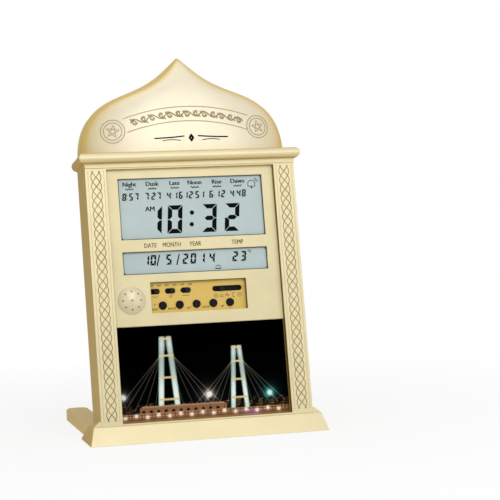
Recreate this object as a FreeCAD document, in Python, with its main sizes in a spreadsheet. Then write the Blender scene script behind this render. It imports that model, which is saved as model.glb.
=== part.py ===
import FreeCAD, Part
import math
import os
import Sketcher

# Azan table clock: a moulded case that leans back on two feet, with a domed top,
# two displays, a control recess, a printed picture and a battery bay in the back.
# Case pieces are drawn in the case frame: X right, Y from the column fronts to the
# back, Z up along the face, with the origin at the foot of the column fronts.

Vector = FreeCAD.Vector
doc = FreeCAD.newDocument("AzanClock")

SIZES = [
    ("lean", 10, "backward lean of the case, degrees"),
    ("body_width", 200, "outer width over the columns"),
    ("body_depth", 42, "column front to back edge"),
    ("wall", 2.4, "moulding wall"),
    ("floor_wall", 2.0, "bottom wall of the case"),
    ("fit_gap", 0.3, "clearance between fitted pieces"),
    ("overlap", 0.2, "how far shapes of one piece run into each other"),
    ("overcut", 1.0, "how far a cut runs past the face it opens"),
    ("column_width", 20, "front face of a column"),
    ("panel_setback", 5, "column front to panel front"),
    ("panel_wall", 2.4, "front panel plate"),
    ("panel_lap", 5, "panel overlap behind the columns"),
    ("picture_top", 88.1, "bottom edge of the panel over the picture"),
    ("recess_band", 11.6, "panel between the picture and the control recess"),
    ("recess_height", 28.5, "control recess"),
    ("date_band", 7.9, "panel between the recess and the small window"),
    ("date_height", 21, "small window"),
    ("label_band", 11.5, "panel between the two windows"),
    ("main_height", 57.2, "large window"),
    ("head_band", 8.4, "panel over the large window"),
    ("lintel", 5.3, "case over the framed opening"),
    ("cornice_height", 10.2, "cornice over the box"),
    ("cove_drop", 3.8, "foot of the cove below the top of the box"),
    ("picture_setback", 9, "column front to picture face"),
    ("card_thick", 0.6, "printed card"),
    ("backing_thick", 2.0, "board behind the card"),
    ("lcd_margin", 11, "panel beside the display windows"),
    ("lcd_lap", 2.0, "glass overlap behind the panel"),
    ("lcd_thick", 2.8, "display glass"),
    ("carrier_rim", 5, "display carrier beyond the glass"),
    ("carrier_thick", 3.6, "display carrier"),
    ("board_thick", 1.6, "circuit boards"),
    ("chip_side", 14, "largest component on the main board"),
    ("chip_thick", 2, "its thickness"),
    ("recess_left_margin", 35, "panel left of the control recess"),
    ("recess_right_margin", 33.7, "panel right of the control recess"),
    ("recess_depth", 4.7, "panel front to control plate"),
    ("plate_thick", 1.2, "control plate"),
    ("switch_drop", 8.2, "slots below the top of the recess"),
    ("switch_inset", 4.5, "first short slot from the left of the recess"),
    ("switch_pitch", 14.75, "short slot spacing"),
    ("slot_length", 10, "short slot"),
    ("slot_height", 5.2, "all slots"),
    ("knob_length", 5, "slide knob along its slot"),
    ("knob_proud", 1.4, "slide knob beyond the plate"),
    ("knob_corner", 1.2, "rounded corners of a slide knob"),
    ("switch_travel", 3.6, "short slide travel"),
    ("selector_inset", 17.6, "long slot from the right of the recess"),
    ("selector_slot", 28.4, "long slot"),
    ("selector_pitch", 5.4, "selector step"),
    ("carriage_rim", 0.8, "slide carriage above and below its slot"),
    ("housing_rim", 1.5, "slide housing beyond its slot"),
    ("switch_depth", 4.2, "slide housing"),
    ("button_lift", 7, "push buttons above the foot of the recess"),
    ("button_inset", 11.4, "first button from the left of the recess"),
    ("button_outset", 15.7, "last button from the right of the recess"),
    ("button_radius", 3.6, "push button cap"),
    ("button_proud", 2.2, "cap beyond the plate"),
    ("button_travel", 0.8, "button stroke"),
    ("button_rim", 1.2, "flange round a cap"),
    ("flange_thick", 1.0, "flange behind the control plate"),
    ("tact_side", 6, "push switch under a button"),
    ("speaker_radius", 13, "domed speaker cap"),
    ("speaker_gap", 0.7, "speaker cap to the recess wall"),
    ("speaker_lift", 12.5, "speaker above the foot of the recess"),
    ("speaker_rise", 3.4, "dome of the speaker cap"),
    ("sound_ring", 8.5, "ring of sound holes"),
    ("sound_hole", 0.7, "sound hole radius"),
    ("driver_rim", 1.5, "speaker frame beyond its cap"),
    ("driver_depth", 9, "speaker"),
    ("cornice_round", 5.1, "bullnose radius"),
    ("cornice_front", 1.5, "cornice line ahead of the columns"),
    ("cornice_wall", 2.2, "cornice moulding wall"),
    ("cornice_short", 2.6, "cornice ends ahead of the case back"),
    ("dome_inset", 1, "foot of the dome in from the columns"),
    ("dome_rise", 95.3, "foot of the dome to its point"),
    ("dome_crown", 5, "depth of the dome's most forward line"),
    ("dome_skirt", 12, "straight rim behind the swell"),
    ("cover_thick", 2.4, "back cover plate"),
    ("boss_radius", 3.6, "screw bosses"),
    ("pilot_radius", 1.1, "pilot holes"),
    ("screw_hole", 1.7, "screw clearance hole radius"),
    ("screw_radius", 1.1, "screw shank"),
    ("screw_head", 2.9, "screw head radius"),
    ("screw_length", 10, "depth of a pilot hole"),
    ("screw_short", 9, "screw shank beyond the cover"),
    ("head_thick", 1.6, "screw head"),
    ("boss_inset", 10, "side bosses in from the case sides"),
    ("boss_low", 8, "lowest bosses"),
    ("boss_under", 3.1, "middle bosses below the picture's top edge"),
    ("boss_drop", 11.5, "highest side bosses below the top of the box"),
    ("boss_lift", 60.3, "dome boss above the cornice"),
    ("key_lift", 23.3, "centre of the keyhole above the cornice"),
    ("key_radius", 4.5, "keyhole round"),
    ("key_slot", 4.4, "keyhole slot width"),
    ("key_rise", 9, "keyhole slot above its centre"),
    ("vent_width", 3.4, "slot behind the speaker"),
    ("vent_height", 8, "slot behind the speaker"),
    ("crescent_radius", 16, "curved slot behind the speaker"),
    ("crescent_shift", 3, "widest part of the curved slot"),
    ("bay_low", 5.9, "bay lower edge"),
    ("bay_cover", 2.5, "battery bay deeper than the cells"),
    ("bay_wall", 1.8, "battery box wall"),
    ("cell_radius", 7.1, "cell radius"),
    ("cell_gap", 0.6, "between two cells"),
    ("cell_length", 49.3, "cell without its nub"),
    ("nub_length", 1.2, "positive nub"),
    ("nub_radius", 2.7, "positive nub radius"),
    ("nub_gap", 0.15, "nub to contact strip"),
    ("contact_thick", 0.5, "contact strip"),
    ("contact_half", 5, "half side of a contact strip"),
    ("spring_length", 4.4, "contact spring"),
    ("spring_radius", 3.2, "contact spring foot"),
    ("spring_gap", 0.75, "spring to cell"),
    ("plinth_rise", 17.5, "floor to the foot of the column fronts"),
    ("plinth_reach", 7.5, "plinth top beyond the columns"),
    ("plinth_flare", 4.5, "plinth foot beyond its top"),
    ("plinth_lip", 2, "plinth top ahead of the columns"),
    ("plinth_front", 11.5, "plinth foot ahead of the columns"),
    ("plinth_wall", 2.4, "plinth moulding wall"),
    ("shoulder", 5.5, "height of the end shoulders"),
    ("shoulder_flat", 1.5, "flat top of an end shoulder"),
    ("foot_inset", 6, "feet in from the ends of the plinth"),
    ("foot_width", 22, "foot width"),
    ("foot_height", 11.4, "foot height"),
    ("foot_length", 130, "foot behind the plinth"),
    ("foot_bevel", 2, "top edges of the feet"),
    ("tongue_length", 18, "tongue inside the plinth"),
    ("tongue_thick", 2.2, "tongue thickness"),
    ("tongue_inset", 3, "tongue in from the sides of its foot"),
]

# Heights stack upward from the picture, and places run in from the case sides
FOLLOWING = [
    ("recess_low", "picture_top + recess_band", "control recess lower edge"),
    ("recess_high", "recess_low + recess_height", "control recess upper edge"),
    ("date_low", "recess_high + date_band", "small window lower edge"),
    ("date_high", "date_low + date_height", "small window upper edge"),
    ("main_low", "date_high + label_band", "large window lower edge"),
    ("main_high", "main_low + main_height", "large window upper edge"),
    ("panel_top", "main_high + head_band", "top of the framed opening"),
    ("body_top", "panel_top + lintel", "top of the box under the cornice"),
    ("cornice_top", "body_top + cornice_height", "top of the cornice"),
    ("cove_low", "body_top - cove_drop", "foot of the cove"),
    ("lcd_half", "body_width / 2 - column_width - lcd_margin", "half width of both windows"),
    ("recess_left", "recess_left_margin + column_width - body_width / 2", "recess left edge"),
    ("recess_right", "body_width / 2 - column_width - recess_right_margin", "recess right edge"),
    ("switch_row", "recess_high - switch_drop", "height of the slots"),
    ("switch_first", "recess_left + switch_inset", "centre of the first short slot"),
    ("selector_centre", "recess_right - selector_inset", "centre of the long slot"),
    ("button_row", "recess_low + button_lift", "height of the push buttons"),
    ("button_first", "recess_left + button_inset", "centre of the first button"),
    ("button_pitch", "(recess_right - recess_left - button_inset - button_outset) / 4", "button spacing"),
    ("speaker_across", "recess_left - 2 * wall - speaker_gap - speaker_radius", "speaker centre"),
    ("speaker_up", "recess_low + speaker_lift", "speaker height"),
    ("driver_radius", "speaker_radius + driver_rim", "speaker frame"),
    ("dome_half", "body_width / 2 - dome_inset", "half width of the dome at its foot"),
    ("dome_rim", "body_depth - dome_skirt", "depth where the swell meets the rim"),
    ("boss_across", "body_width / 2 - boss_inset", "side bosses from the middle"),
    ("boss_middle", "picture_top - boss_under", "middle bosses"),
    ("boss_high", "body_top - boss_drop", "highest side bosses"),
    ("boss_dome", "cornice_top + boss_lift", "boss in the dome"),
    ("key_height", "cornice_top + key_lift", "centre of the keyhole"),
    ("bay_half", "(cell_length + nub_length + nub_gap + 2 * contact_thick"
     " + spring_length + spring_gap) / 2", "half width of the battery bay"),
    ("cell_pitch", "2 * cell_radius + cell_gap", "cell spacing"),
    ("bay_high", "bay_low + 3 * cell_pitch", "bay upper edge"),
    ("bay_depth", "2 * cell_radius + fit_gap + bay_cover", "depth of the bay"),
    ("plinth_top_half", "body_width / 2 + plinth_reach", "half width on top of the plinth"),
    ("plinth_low_half", "plinth_top_half + plinth_flare", "half width at the floor"),
    ("plinth_back", "body_depth", "back of the plinth"),
    ("foot_outer", "plinth_low_half - foot_inset", "outer side of a foot"),
    ("foot_inner", "foot_outer - foot_width", "inner side of a foot"),
    ("foot_end", "plinth_back + foot_length", "far end of the feet"),
]

sheet = doc.addObject("Spreadsheet::Sheet", "Size")
rows = SIZES + [(alias, "=" + formula, note) for alias, formula, note in FOLLOWING]
for row, (alias, content, note) in enumerate(rows, start=1):
    sheet.set(f"A{row}", note)
    sheet.set(f"B{row}", str(content))
    sheet.setAlias(f"B{row}", alias)
doc.recompute()


def size(alias):
    """Value of one sheet cell, in millimetres or degrees."""
    return float(sheet.getPropertyByName(alias))


# Expressions that several pieces share
HALF = "(Size.body_width / 2)"
INNER = f"({HALF} - Size.wall)"
OPENING = f"({HALF} - Size.column_width)"
PANEL_BACK = "(Size.panel_setback + Size.panel_wall)"
PANEL_HALF = f"({OPENING} + Size.panel_lap)"
PANEL_HEAD = "(Size.panel_top + Size.wall)"
GLASS_BACK = f"({PANEL_BACK} + Size.lcd_thick)"
BOARD_FRONT = f"({GLASS_BACK} + Size.carrier_thick)"
GLASS_HALF = "(Size.lcd_half + Size.lcd_lap)"
PLATE_FRONT = "(Size.panel_setback + Size.recess_depth)"
PLATE_BACK = f"({PLATE_FRONT} + Size.plate_thick)"
FLANGE_FRONT = f"({PLATE_BACK} + Size.fit_gap)"
FLANGE_BACK = f"({FLANGE_FRONT} + Size.flange_thick)"
SWITCH_FRONT = f"({FLANGE_BACK} + Size.fit_gap)"
SWITCH_BACK = f"({SWITCH_FRONT} + Size.switch_depth)"
COVER_FRONT = "(Size.body_depth - Size.cover_thick)"
BAY_FLOOR = "(Size.body_depth - Size.bay_depth)"
STANCE = "((Size.plinth_front - Size.foot_end) / 2)"

nodes = []


def keep(piece, name):
    """Name a finished sub-part and stand it in the leaning case frame."""
    if piece.TypeId == "Part::Box":
        piece = group(name + "_single", [piece])
    piece.Label = name
    piece.Placement = FreeCAD.Placement(
        Vector(0, 0, 0), FreeCAD.Rotation(Vector(-1, 0, 0), size("lean")))
    piece.setExpression("Placement.Rotation.Angle", "Size.lean * 1 deg")
    piece.setExpression("Placement.Base.y", STANCE)
    piece.setExpression("Placement.Base.z", "Size.plinth_rise")
    nodes.append(piece)
    return piece


def keep_level(piece, name):
    """Name a finished sub-part that stands level on the floor."""
    piece.Label = name
    piece.Placement = FreeCAD.Placement()
    piece.setExpression("Placement.Base.y", STANCE)
    nodes.append(piece)
    return piece


def block(name, x, y, z):
    """Box between pairs of bounds, each an expression."""
    box = doc.addObject("Part::Box", name)
    for side, axis, (low, high) in (("Length", "x", x), ("Width", "y", y), ("Height", "z", z)):
        box.setExpression(side, f"({high}) - ({low})")
        box.setExpression(f"Placement.Base.{axis}", f"{low}")
    return box


def rod(name, x, y, z, radius):
    """Cylinder along the depth, from the first to the second bound of y."""
    rod_axis = FreeCAD.Rotation(Vector(1, 0, 0), -90)
    cylinder = doc.addObject("Part::Cylinder", name)
    cylinder.Placement = FreeCAD.Placement(Vector(0, 0, 0), rod_axis)
    cylinder.setExpression("Radius", f"{radius}")
    cylinder.setExpression("Height", f"({y[1]}) - ({y[0]})")
    for axis, place in (("x", x), ("y", y[0]), ("z", z)):
        cylinder.setExpression(f"Placement.Base.{axis}", f"{place}")
    return cylinder


def fuse(name, shapes):
    joined = doc.addObject("Part::MultiFuse", name)
    joined.Shapes = shapes
    return joined


def cut(name, base, tools):
    """Base less every tool."""
    result = doc.addObject("Part::Cut", name)
    result.Base = base
    result.Tool = tools[0] if len(tools) == 1 else fuse(name + "_tools", tools)
    return result


def group(name, shapes):
    """Separate solids that share one node."""
    together = doc.addObject("Part::Compound", name)
    together.Links = shapes
    return together


def plane_of(body, role):
    return next(item for item in body.Origin.OriginFeatures if item.Role == role)


def sketch_in(body, name, depth="0"):
    """Sketch in a plane parallel to the face, at a depth given by an expression."""
    drawing = body.newObject("Sketcher::SketchObject", name)
    drawing.AttachmentSupport = [(plane_of(body, "XZ_Plane"), "")]
    drawing.MapMode = "FlatFace"
    drawing.setExpression("AttachmentOffset.Base.z", f"-({depth})")
    return drawing


def bind(drawing, kind, first, first_point, second, second_point, expression):
    """Dimension between two sketch points, driven by an expression."""
    index = drawing.addConstraint(
        Sketcher.Constraint(kind, first, first_point, second, second_point, 1.0))
    drawing.setExpression(f"Constraints[{index}]", expression)


def draw_rectangle(drawing, x, z):
    """Rectangle between bound expressions, measured from the origin."""
    corners = [Vector(0, 0, 0), Vector(1, 0, 0), Vector(1, 1, 0), Vector(0, 1, 0)]
    first = drawing.GeometryCount
    for n in range(4):
        drawing.addGeometry(Part.LineSegment(corners[n], corners[(n + 1) % 4]), False)
    for n in range(4):
        drawing.addConstraint(Sketcher.Constraint("Coincident", first + n, 2, first + (n + 1) % 4, 1))
    for n, kind in enumerate(("Horizontal", "Vertical", "Horizontal", "Vertical")):
        drawing.addConstraint(Sketcher.Constraint(kind, first + n))
    for point, place in ((1, x[0]), (2, x[1])):
        bind(drawing, "DistanceX", -1, 1, first, point, place)
    bind(drawing, "DistanceY", -1, 1, first, 1, z[0])
    bind(drawing, "DistanceY", -1, 1, first + 2, 1, z[1])


def draw_circle(drawing, x, z, radius):
    index = drawing.GeometryCount
    drawing.addGeometry(Part.Circle(Vector(1, 1, 0), Vector(0, 0, 1), 1), False)
    bind(drawing, "DistanceX", -1, 1, index, 3, x)
    bind(drawing, "DistanceY", -1, 1, index, 3, z)
    constraint = drawing.addConstraint(Sketcher.Constraint("Radius", index, 1.0))
    drawing.setExpression(f"Constraints[{constraint}]", f"{radius}")


def pad_back(body, drawing, name, thickness):
    """Pad from the sketch away from the viewer."""
    pad = body.newObject("PartDesign::Pad", name)
    pad.Profile = drawing
    pad.Reversed = True
    pad.setExpression("Length", f"{thickness}")
    return pad


def pocket_back(body, drawing, name):
    """Cut from the sketch through everything behind it."""
    pocket = body.newObject("PartDesign::Pocket", name)
    pocket.Profile = drawing
    pocket.Type = "ThroughAll"
    doc.recompute()
    return pocket


def pattern(body, feature, name, expression, count, drawing):
    """Repeat a pocket along X."""
    row_of = body.newObject("PartDesign::LinearPattern", name)
    row_of.Originals = [feature]
    row_of.Direction = (drawing, ["H_Axis"])
    row_of.setExpression("Length", f"{expression}")
    row_of.Occurrences = count
    body.Tip = row_of
    return row_of


# Case shell: side walls, columns and their inner returns, with screw bosses
BOSSES = [(side, height) for height in ("boss_low", "boss_middle", "boss_high") for side in (-1, 1)]


def make_case_shell():
    outside = block("shell_outside", (f"-{HALF}", HALF), ("0", "Size.body_depth"),
                    ("-Size.floor_wall", "Size.body_top"))
    inside = block("shell_inside", (f"-{INNER}", INNER), ("Size.wall", "Size.body_depth + Size.overcut"),
                   ("0", "Size.body_top - Size.wall"))
    cover_space = block("shell_cover_space", (f"-{INNER}", INNER),
                        (f"{COVER_FRONT} - Size.fit_gap", "Size.body_depth + Size.overcut"),
                        ("Size.body_top - 2 * Size.wall", "Size.body_top + Size.overcut"))
    hollow = cut("shell_hollow", outside, [inside, cover_space])
    ring_x = (f"-{OPENING} - Size.wall", f"{OPENING} + Size.wall")
    ring = block("shell_return", ring_x, ("Size.wall", "Size.panel_setback"),
                 ("-Size.floor_wall", PANEL_HEAD))
    low_ring = block("shell_low_return", ring_x, ("Size.wall", "Size.picture_setback"),
                     ("-Size.floor_wall", "Size.picture_top"))
    parts = [hollow, ring, low_ring]
    for number, (side, height) in enumerate(BOSSES):
        parts.append(rod(f"shell_boss_{number}", f"{side} * Size.boss_across",
                         ("Size.wall / 2", COVER_FRONT), f"Size.{height}", "Size.boss_radius"))
    solid = fuse("shell_solid", parts)
    opening = block("shell_opening", (f"-{OPENING}", OPENING),
                    ("-Size.overcut", "Size.picture_setback + Size.overcut"), ("0", "Size.panel_top"))
    pilots = []
    for number, (side, height) in enumerate(BOSSES):
        pilots.append(rod(f"shell_pilot_{number}", f"{side} * Size.boss_across",
                          (f"{COVER_FRONT} - Size.screw_length", f"{COVER_FRONT} + Size.overcut"),
                          f"Size.{height}", "Size.pilot_radius"))
    keep(cut("case_shell_cut", solid, [opening] + pilots), "case_shell")


# Dome: an ogee outline, swelling forward, with a rim that runs straight back
OGEE_KNEE = (51.7 / 99, 61.0 / 95.3)
OGEE_SLOPE = 0.36
TIP_SLOPE = 0.76


def ogee_curves(half, rise, foot):
    """Right half of the dome outline: two cubic curves from the foot to the point."""
    knee = Vector(half * OGEE_KNEE[0], 0, rise * OGEE_KNEE[1])
    tip = Vector(0, 0, rise)
    run = Vector(-math.cos(OGEE_SLOPE), 0, math.sin(OGEE_SLOPE))
    last = Vector(-math.cos(TIP_SLOPE), 0, math.sin(TIP_SLOPE))
    start = Vector(half, 0, 0)
    poles = [
        [start, start + Vector(0, 0, rise * 0.462), knee - run * half * 0.219, knee],
        [knee, knee + run * half * 0.265, tip - last * half * 0.261, tip],
    ]
    curves = []
    for four in poles:
        curve = Part.BezierCurve()
        curve.setPoles([point + Vector(0, 0, foot) for point in four])
        curves.append(curve)
    return curves


def ogee_wire(half, rise, foot, depth):
    """Closed dome outline at one depth."""
    edges = [curve.toShape() for curve in ogee_curves(half, rise, foot)]
    mirrored = [edge.mirror(Vector(0, 0, 0), Vector(1, 0, 0)) for edge in edges]
    base = Part.makeLine(Vector(-half, 0, foot), Vector(half, 0, foot))
    wire = Part.Wire(Part.__sortEdges__(edges + mirrored + [base]))
    wire.translate(Vector(0, depth, 0))
    return wire


SWELL_STEPS = (1.0, 0.985, 0.95, 0.88, 0.74, 0.5, 0.22, 0.04)


def swell(half, rise, foot, crown, rim, back):
    """Solid of the dome: nested outlines that come forward to the crown line."""
    wires = []
    for share in SWELL_STEPS:
        depth = rim - (rim - crown) * math.sqrt(1 - share ** 3)
        wires.append(ogee_wire(half * share, rise * share, foot, depth))
    front = Part.makeLoft(wires, True, False)
    rim_face = Part.Face(ogee_wire(half, rise, foot, rim))
    return front.fuse(rim_face.extrude(Vector(0, back - rim, 0))).removeSplitter()


def make_dome_hood():
    half = size("dome_half")
    rise = size("dome_rise")
    foot = size("cornice_top")
    wall = size("wall")
    crown = size("dome_crown")
    rim = size("dome_rim")
    back = size("body_depth")
    skin = swell(half, rise, foot, crown, rim, back)
    inner = swell(half - wall, rise - 1.5 * wall, foot + wall, crown + wall, rim,
                  back + size("overcut"))
    cover = size("body_depth") - size("cover_thick")
    boss = Part.makeCylinder(size("boss_radius"), cover - crown - wall / 2,
                             Vector(0, crown + wall / 2, size("boss_dome")), Vector(0, 1, 0))
    pilot = Part.makeCylinder(size("pilot_radius"), size("screw_length") + size("overcut"),
                              Vector(0, cover - size("screw_length"), size("boss_dome")),
                              Vector(0, 1, 0))
    boss = boss.common(skin)
    floor_cut = Part.makeBox(2 * half, cover, 2 * wall,
                             Vector(-half, cover - size("fit_gap"), foot - wall))
    hood = skin.cut(inner).fuse(boss).cut(pilot).cut(floor_cut)
    piece = doc.addObject("Part::Feature", "dome_hood_shape")
    piece.Shape = hood
    keep(piece, "dome_hood")


# Cornice: a bullnose over a cove, swept round the front and both sides with mitres
def make_cornice():
    top = size("cornice_top")
    radius = size("cornice_round")
    wall = size("cornice_wall")
    low = size("cove_low")
    half = size("body_width") / 2
    front = -size("cornice_front")
    back = size("body_depth") - size("cornice_short")
    reach = size("fit_gap") + size("cornice_front")

    def point(out, up):
        """Point of the profile at the back left end, measured outward from the side."""
        return Vector(-half - out, back, up)

    middle = top - radius
    turn = math.radians(60)
    nose_out = wall / 5.5
    outer_end = (nose_out + radius * math.cos(turn), middle - radius * math.sin(turn))
    inner = radius - wall
    inner_end = (nose_out + inner * math.cos(turn), middle - inner * math.sin(turn))
    deck = wall + top - low - radius / 2
    edges = [
        Part.makeLine(point(-deck, top), point(nose_out, top)),
        Part.Arc(point(nose_out, top), point(nose_out + radius, middle), point(*outer_end)).toShape(),
        Part.Arc(point(*outer_end), point(outer_end[0] / 3, outer_end[1] * 0.6 + low * 0.4),
                 point(0, low)).toShape(),
        Part.makeLine(point(0, low), point(-reach, low)),
        Part.makeLine(point(-reach, low), point(*inner_end)),
        Part.Arc(point(*inner_end), point(nose_out + inner, middle),
                 point(nose_out, top - wall)).toShape(),
        Part.makeLine(point(nose_out, top - wall), point(-deck, top - wall)),
        Part.makeLine(point(-deck, top - wall), point(-deck, top)),
    ]
    profile = Part.Wire(edges)
    corners = [Vector(-half, back, top), Vector(-half, front, top),
               Vector(half, front, top), Vector(half, back, top)]
    path = Part.makePolygon(corners)
    moulding = path.makePipeShell([profile], True, False, 1)
    sweep = doc.addObject("Part::Feature", "cornice_sweep")
    sweep.Shape = moulding
    deck_plate = block("cornice_deck", (f"-{HALF} + Size.wall", f"{HALF} - Size.wall"),
                       ("Size.wall", "Size.body_depth - Size.cornice_short"),
                       ("Size.cornice_top - Size.cornice_wall", "Size.cornice_top"))
    body_space = block("cornice_body_space", (f"-{HALF}", HALF), ("0", "Size.body_depth"),
                       ("Size.cove_low - Size.cornice_height", "Size.body_top"))
    keep(cut("cornice_cut", fuse("cornice_joined", [sweep, deck_plate]), [body_space]), "cornice")


# Plinth: a hollow wedge whose top follows the lean and whose foot is level
def lean_point(x, y, z):
    """Point of the case frame in the level frame, before the stance shift."""
    angle = math.radians(size("lean"))
    return Vector(x, math.cos(angle) * y + math.sin(angle) * z,
                  size("plinth_rise") + math.cos(angle) * z - math.sin(angle) * y)


def plinth_wedge(inset, back):
    """Wedge between the sloping top and the floor, drawn in by an inset."""
    top_half = size("plinth_top_half") - inset
    low_half = size("plinth_low_half") - inset
    angle = math.radians(size("lean"))
    top = -size("floor_wall") - inset
    lip = -size("plinth_lip") + inset
    back_top = (back - math.sin(angle) * top) / math.cos(angle)
    upper = [lean_point(x, y, top) for x, y in (
        (-top_half, lip), (top_half, lip), (top_half, back_top), (-top_half, back_top))]
    front = -size("plinth_front") + inset
    lower = [Vector(x, y, inset) for x, y in (
        (-low_half, front), (low_half, front), (low_half, back), (-low_half, back))]
    wires = [Part.makePolygon(points + points[:1]) for points in (upper, lower)]
    return Part.makeLoft(wires, True, True)


def make_plinth():
    back = size("plinth_back")
    wall = size("plinth_wall")
    solid = plinth_wedge(0, back)
    half = size("body_width") / 2
    top_half = size("plinth_top_half")
    base = -size("floor_wall")
    rise = size("shoulder")
    for side in (-1, 1):
        foot = half + size("fit_gap") / 10
        low = base - size("overcut")
        ends = [(foot, low), (foot, base + rise), (foot + size("shoulder_flat"), base + rise),
                (top_half, base), (top_half, low)]
        outline = [lean_point(side * x, 0, z) for x, z in ends]
        face = Part.Face(Part.makePolygon(outline + outline[:1]))
        along = lean_point(0, size("body_depth") - size("plinth_lip"), 0) - lean_point(0, 0, 0)
        solid = solid.fuse(face.extrude(along))
    solid = solid.cut(plinth_wedge(wall, back + size("overcut")))
    for side in (-1, 1):
        middle = side * (size("foot_inner") + size("foot_outer")) / 2
        hole = Part.makeCylinder(size("screw_hole"), wall * 3,
                                 Vector(middle, back - size("tongue_length") / 2, -wall))
        solid = solid.cut(hole)
    piece = doc.addObject("Part::Feature", "plinth_shape")
    piece.Shape = solid.removeSplitter()
    keep_level(piece, "plinth")


# Feet: long rounded bars behind the plinth, each with a tongue screwed inside it
def make_foot(name, side):
    inner = "Size.foot_inner" if side > 0 else "-Size.foot_outer"
    outer = "Size.foot_outer" if side > 0 else "-Size.foot_inner"
    bar = doc.addObject("PartDesign::Body", name + "_bar")
    outline = bar.newObject("Sketcher::SketchObject", name + "_outline")
    outline.AttachmentSupport = [(plane_of(bar, "XY_Plane"), "")]
    outline.MapMode = "FlatFace"
    draw_rectangle(outline, (inner, outer), ("Size.plinth_back + Size.fit_gap", "Size.foot_end"))
    pad = bar.newObject("PartDesign::Pad", name + "_pad")
    pad.Profile = outline
    pad.setExpression("Length", "Size.foot_height")
    doc.recompute()
    far = size("foot_end")
    ends = []
    for index, edge in enumerate(pad.Shape.Edges, start=1):
        box = edge.BoundBox
        if abs(box.YMin - far) < 0.01 and abs(box.YMax - far) < 0.01 and box.ZLength > 1:
            ends.append(f"Edge{index}")
    rounds = bar.newObject("PartDesign::Fillet", name + "_rounds")
    rounds.Base = (pad, ends)
    rounds.setExpression("Radius", "(Size.foot_outer - Size.foot_inner) * 0.38")
    doc.recompute()
    rims = []
    top = size("foot_height")
    near = size("plinth_back") + size("fit_gap")
    for index, edge in enumerate(rounds.Shape.Edges, start=1):
        box = edge.BoundBox
        if abs(box.ZMin - top) < 0.01 and box.YMax > near + 0.1:
            rims.append(f"Edge{index}")
    soften = bar.newObject("PartDesign::Fillet", name + "_soften")
    soften.Base = (rounds, rims)
    soften.setExpression("Radius", "Size.foot_bevel")
    bar.Tip = soften
    tongue = block(name + "_tongue", (f"{inner} + Size.tongue_inset", f"{outer} - Size.tongue_inset"),
                   ("Size.plinth_back - Size.tongue_length", "Size.plinth_back + Size.overcut"),
                   ("Size.plinth_wall", "Size.plinth_wall + Size.tongue_thick"))
    pilot = doc.addObject("Part::Cylinder", name + "_pilot")
    pilot.setExpression("Radius", "Size.pilot_radius")
    pilot.setExpression("Height", "Size.plinth_wall * 4")
    pilot.setExpression("Placement.Base.x", f"({inner} + {outer}) / 2")
    pilot.setExpression("Placement.Base.y", "Size.plinth_back - Size.tongue_length / 2")
    keep_level(cut(name + "_cut", fuse(name + "_joined", [bar, tongue]), [pilot]), name)


def make_foot_screws():
    screws = []
    for side in (-1, 1):
        middle = f"{side} * (Size.foot_inner + Size.foot_outer) / 2"
        place = "Size.plinth_back - Size.tongue_length / 2"
        parts = []
        for name, radius, low, high in (
                ("shank", "Size.screw_radius", "Size.plinth_wall / 3",
                 "Size.plinth_wall + Size.tongue_thick"),
                ("head", "Size.screw_hole - Size.fit_gap / 3", "Size.overlap",
                 "Size.plinth_wall / 3 + Size.overlap")):
            stem = doc.addObject("Part::Cylinder", f"foot_screw_{name}_{side + 1}")
            stem.setExpression("Radius", radius)
            stem.setExpression("Height", f"({high}) - ({low})")
            stem.setExpression("Placement.Base.x", middle)
            stem.setExpression("Placement.Base.y", place)
            stem.setExpression("Placement.Base.z", low)
            parts.append(stem)
        screws.append(fuse(f"foot_screw_{side + 1}", parts))
    keep_level(group("foot_screw_pair", screws), "foot_screws")


# Front panel: display windows, control recess with its returns, and a picture lip
def make_front_panel():
    body = doc.addObject("PartDesign::Body", "panel_body")
    outline = sketch_in(body, "panel_outline", "Size.panel_setback")
    draw_rectangle(outline, (f"-{PANEL_HALF}", PANEL_HALF), ("Size.picture_top", PANEL_HEAD))
    pad_back(body, outline, "panel_plate", "Size.panel_wall")
    doc.recompute()
    windows = sketch_in(body, "panel_windows", "Size.panel_setback")
    draw_rectangle(windows, ("-Size.lcd_half", "Size.lcd_half"), ("Size.main_low", "Size.main_high"))
    draw_rectangle(windows, ("-Size.lcd_half", "Size.lcd_half"), ("Size.date_low", "Size.date_high"))
    draw_rectangle(windows, ("Size.recess_left", "Size.recess_right"),
                   ("Size.recess_low", "Size.recess_high"))
    draw_circle(windows, "Size.speaker_across", "Size.speaker_up", "Size.speaker_radius + Size.fit_gap / 3")
    doc.recompute()
    pocket_back(body, windows, "panel_openings")
    rim = "Size.wall"
    collar = block("panel_collar", (f"Size.recess_left - {rim}", f"Size.recess_right + {rim}"),
                   (PANEL_BACK, PLATE_FRONT), (f"Size.recess_low - {rim}", f"Size.recess_high + {rim}"))
    hole = block("panel_collar_hole", ("Size.recess_left", "Size.recess_right"),
                 ("Size.panel_setback", f"{PLATE_FRONT} + Size.overcut"),
                 ("Size.recess_low", "Size.recess_high"))
    lip = block("panel_lip", (f"-{PANEL_HALF}", PANEL_HALF), (PANEL_BACK, "Size.picture_setback"),
                ("Size.picture_top", "Size.picture_top + Size.wall"))
    keep(fuse("panel_joined", [body, cut("panel_collar_cut", collar, [hole]), lip]), "front_panel")


def make_picture():
    across = (f"-{PANEL_HALF} + Size.fit_gap", f"{PANEL_HALF} - Size.fit_gap")
    up = ("Size.fit_gap", "Size.picture_top + Size.wall - Size.fit_gap")
    card_back = "Size.picture_setback + Size.card_thick"
    keep(block("card", across, ("Size.picture_setback", card_back), up), "picture_card")
    backing = block("backing", across, (card_back, f"{card_back} + Size.backing_thick"), up)
    keep(backing, "picture_backing")


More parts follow.
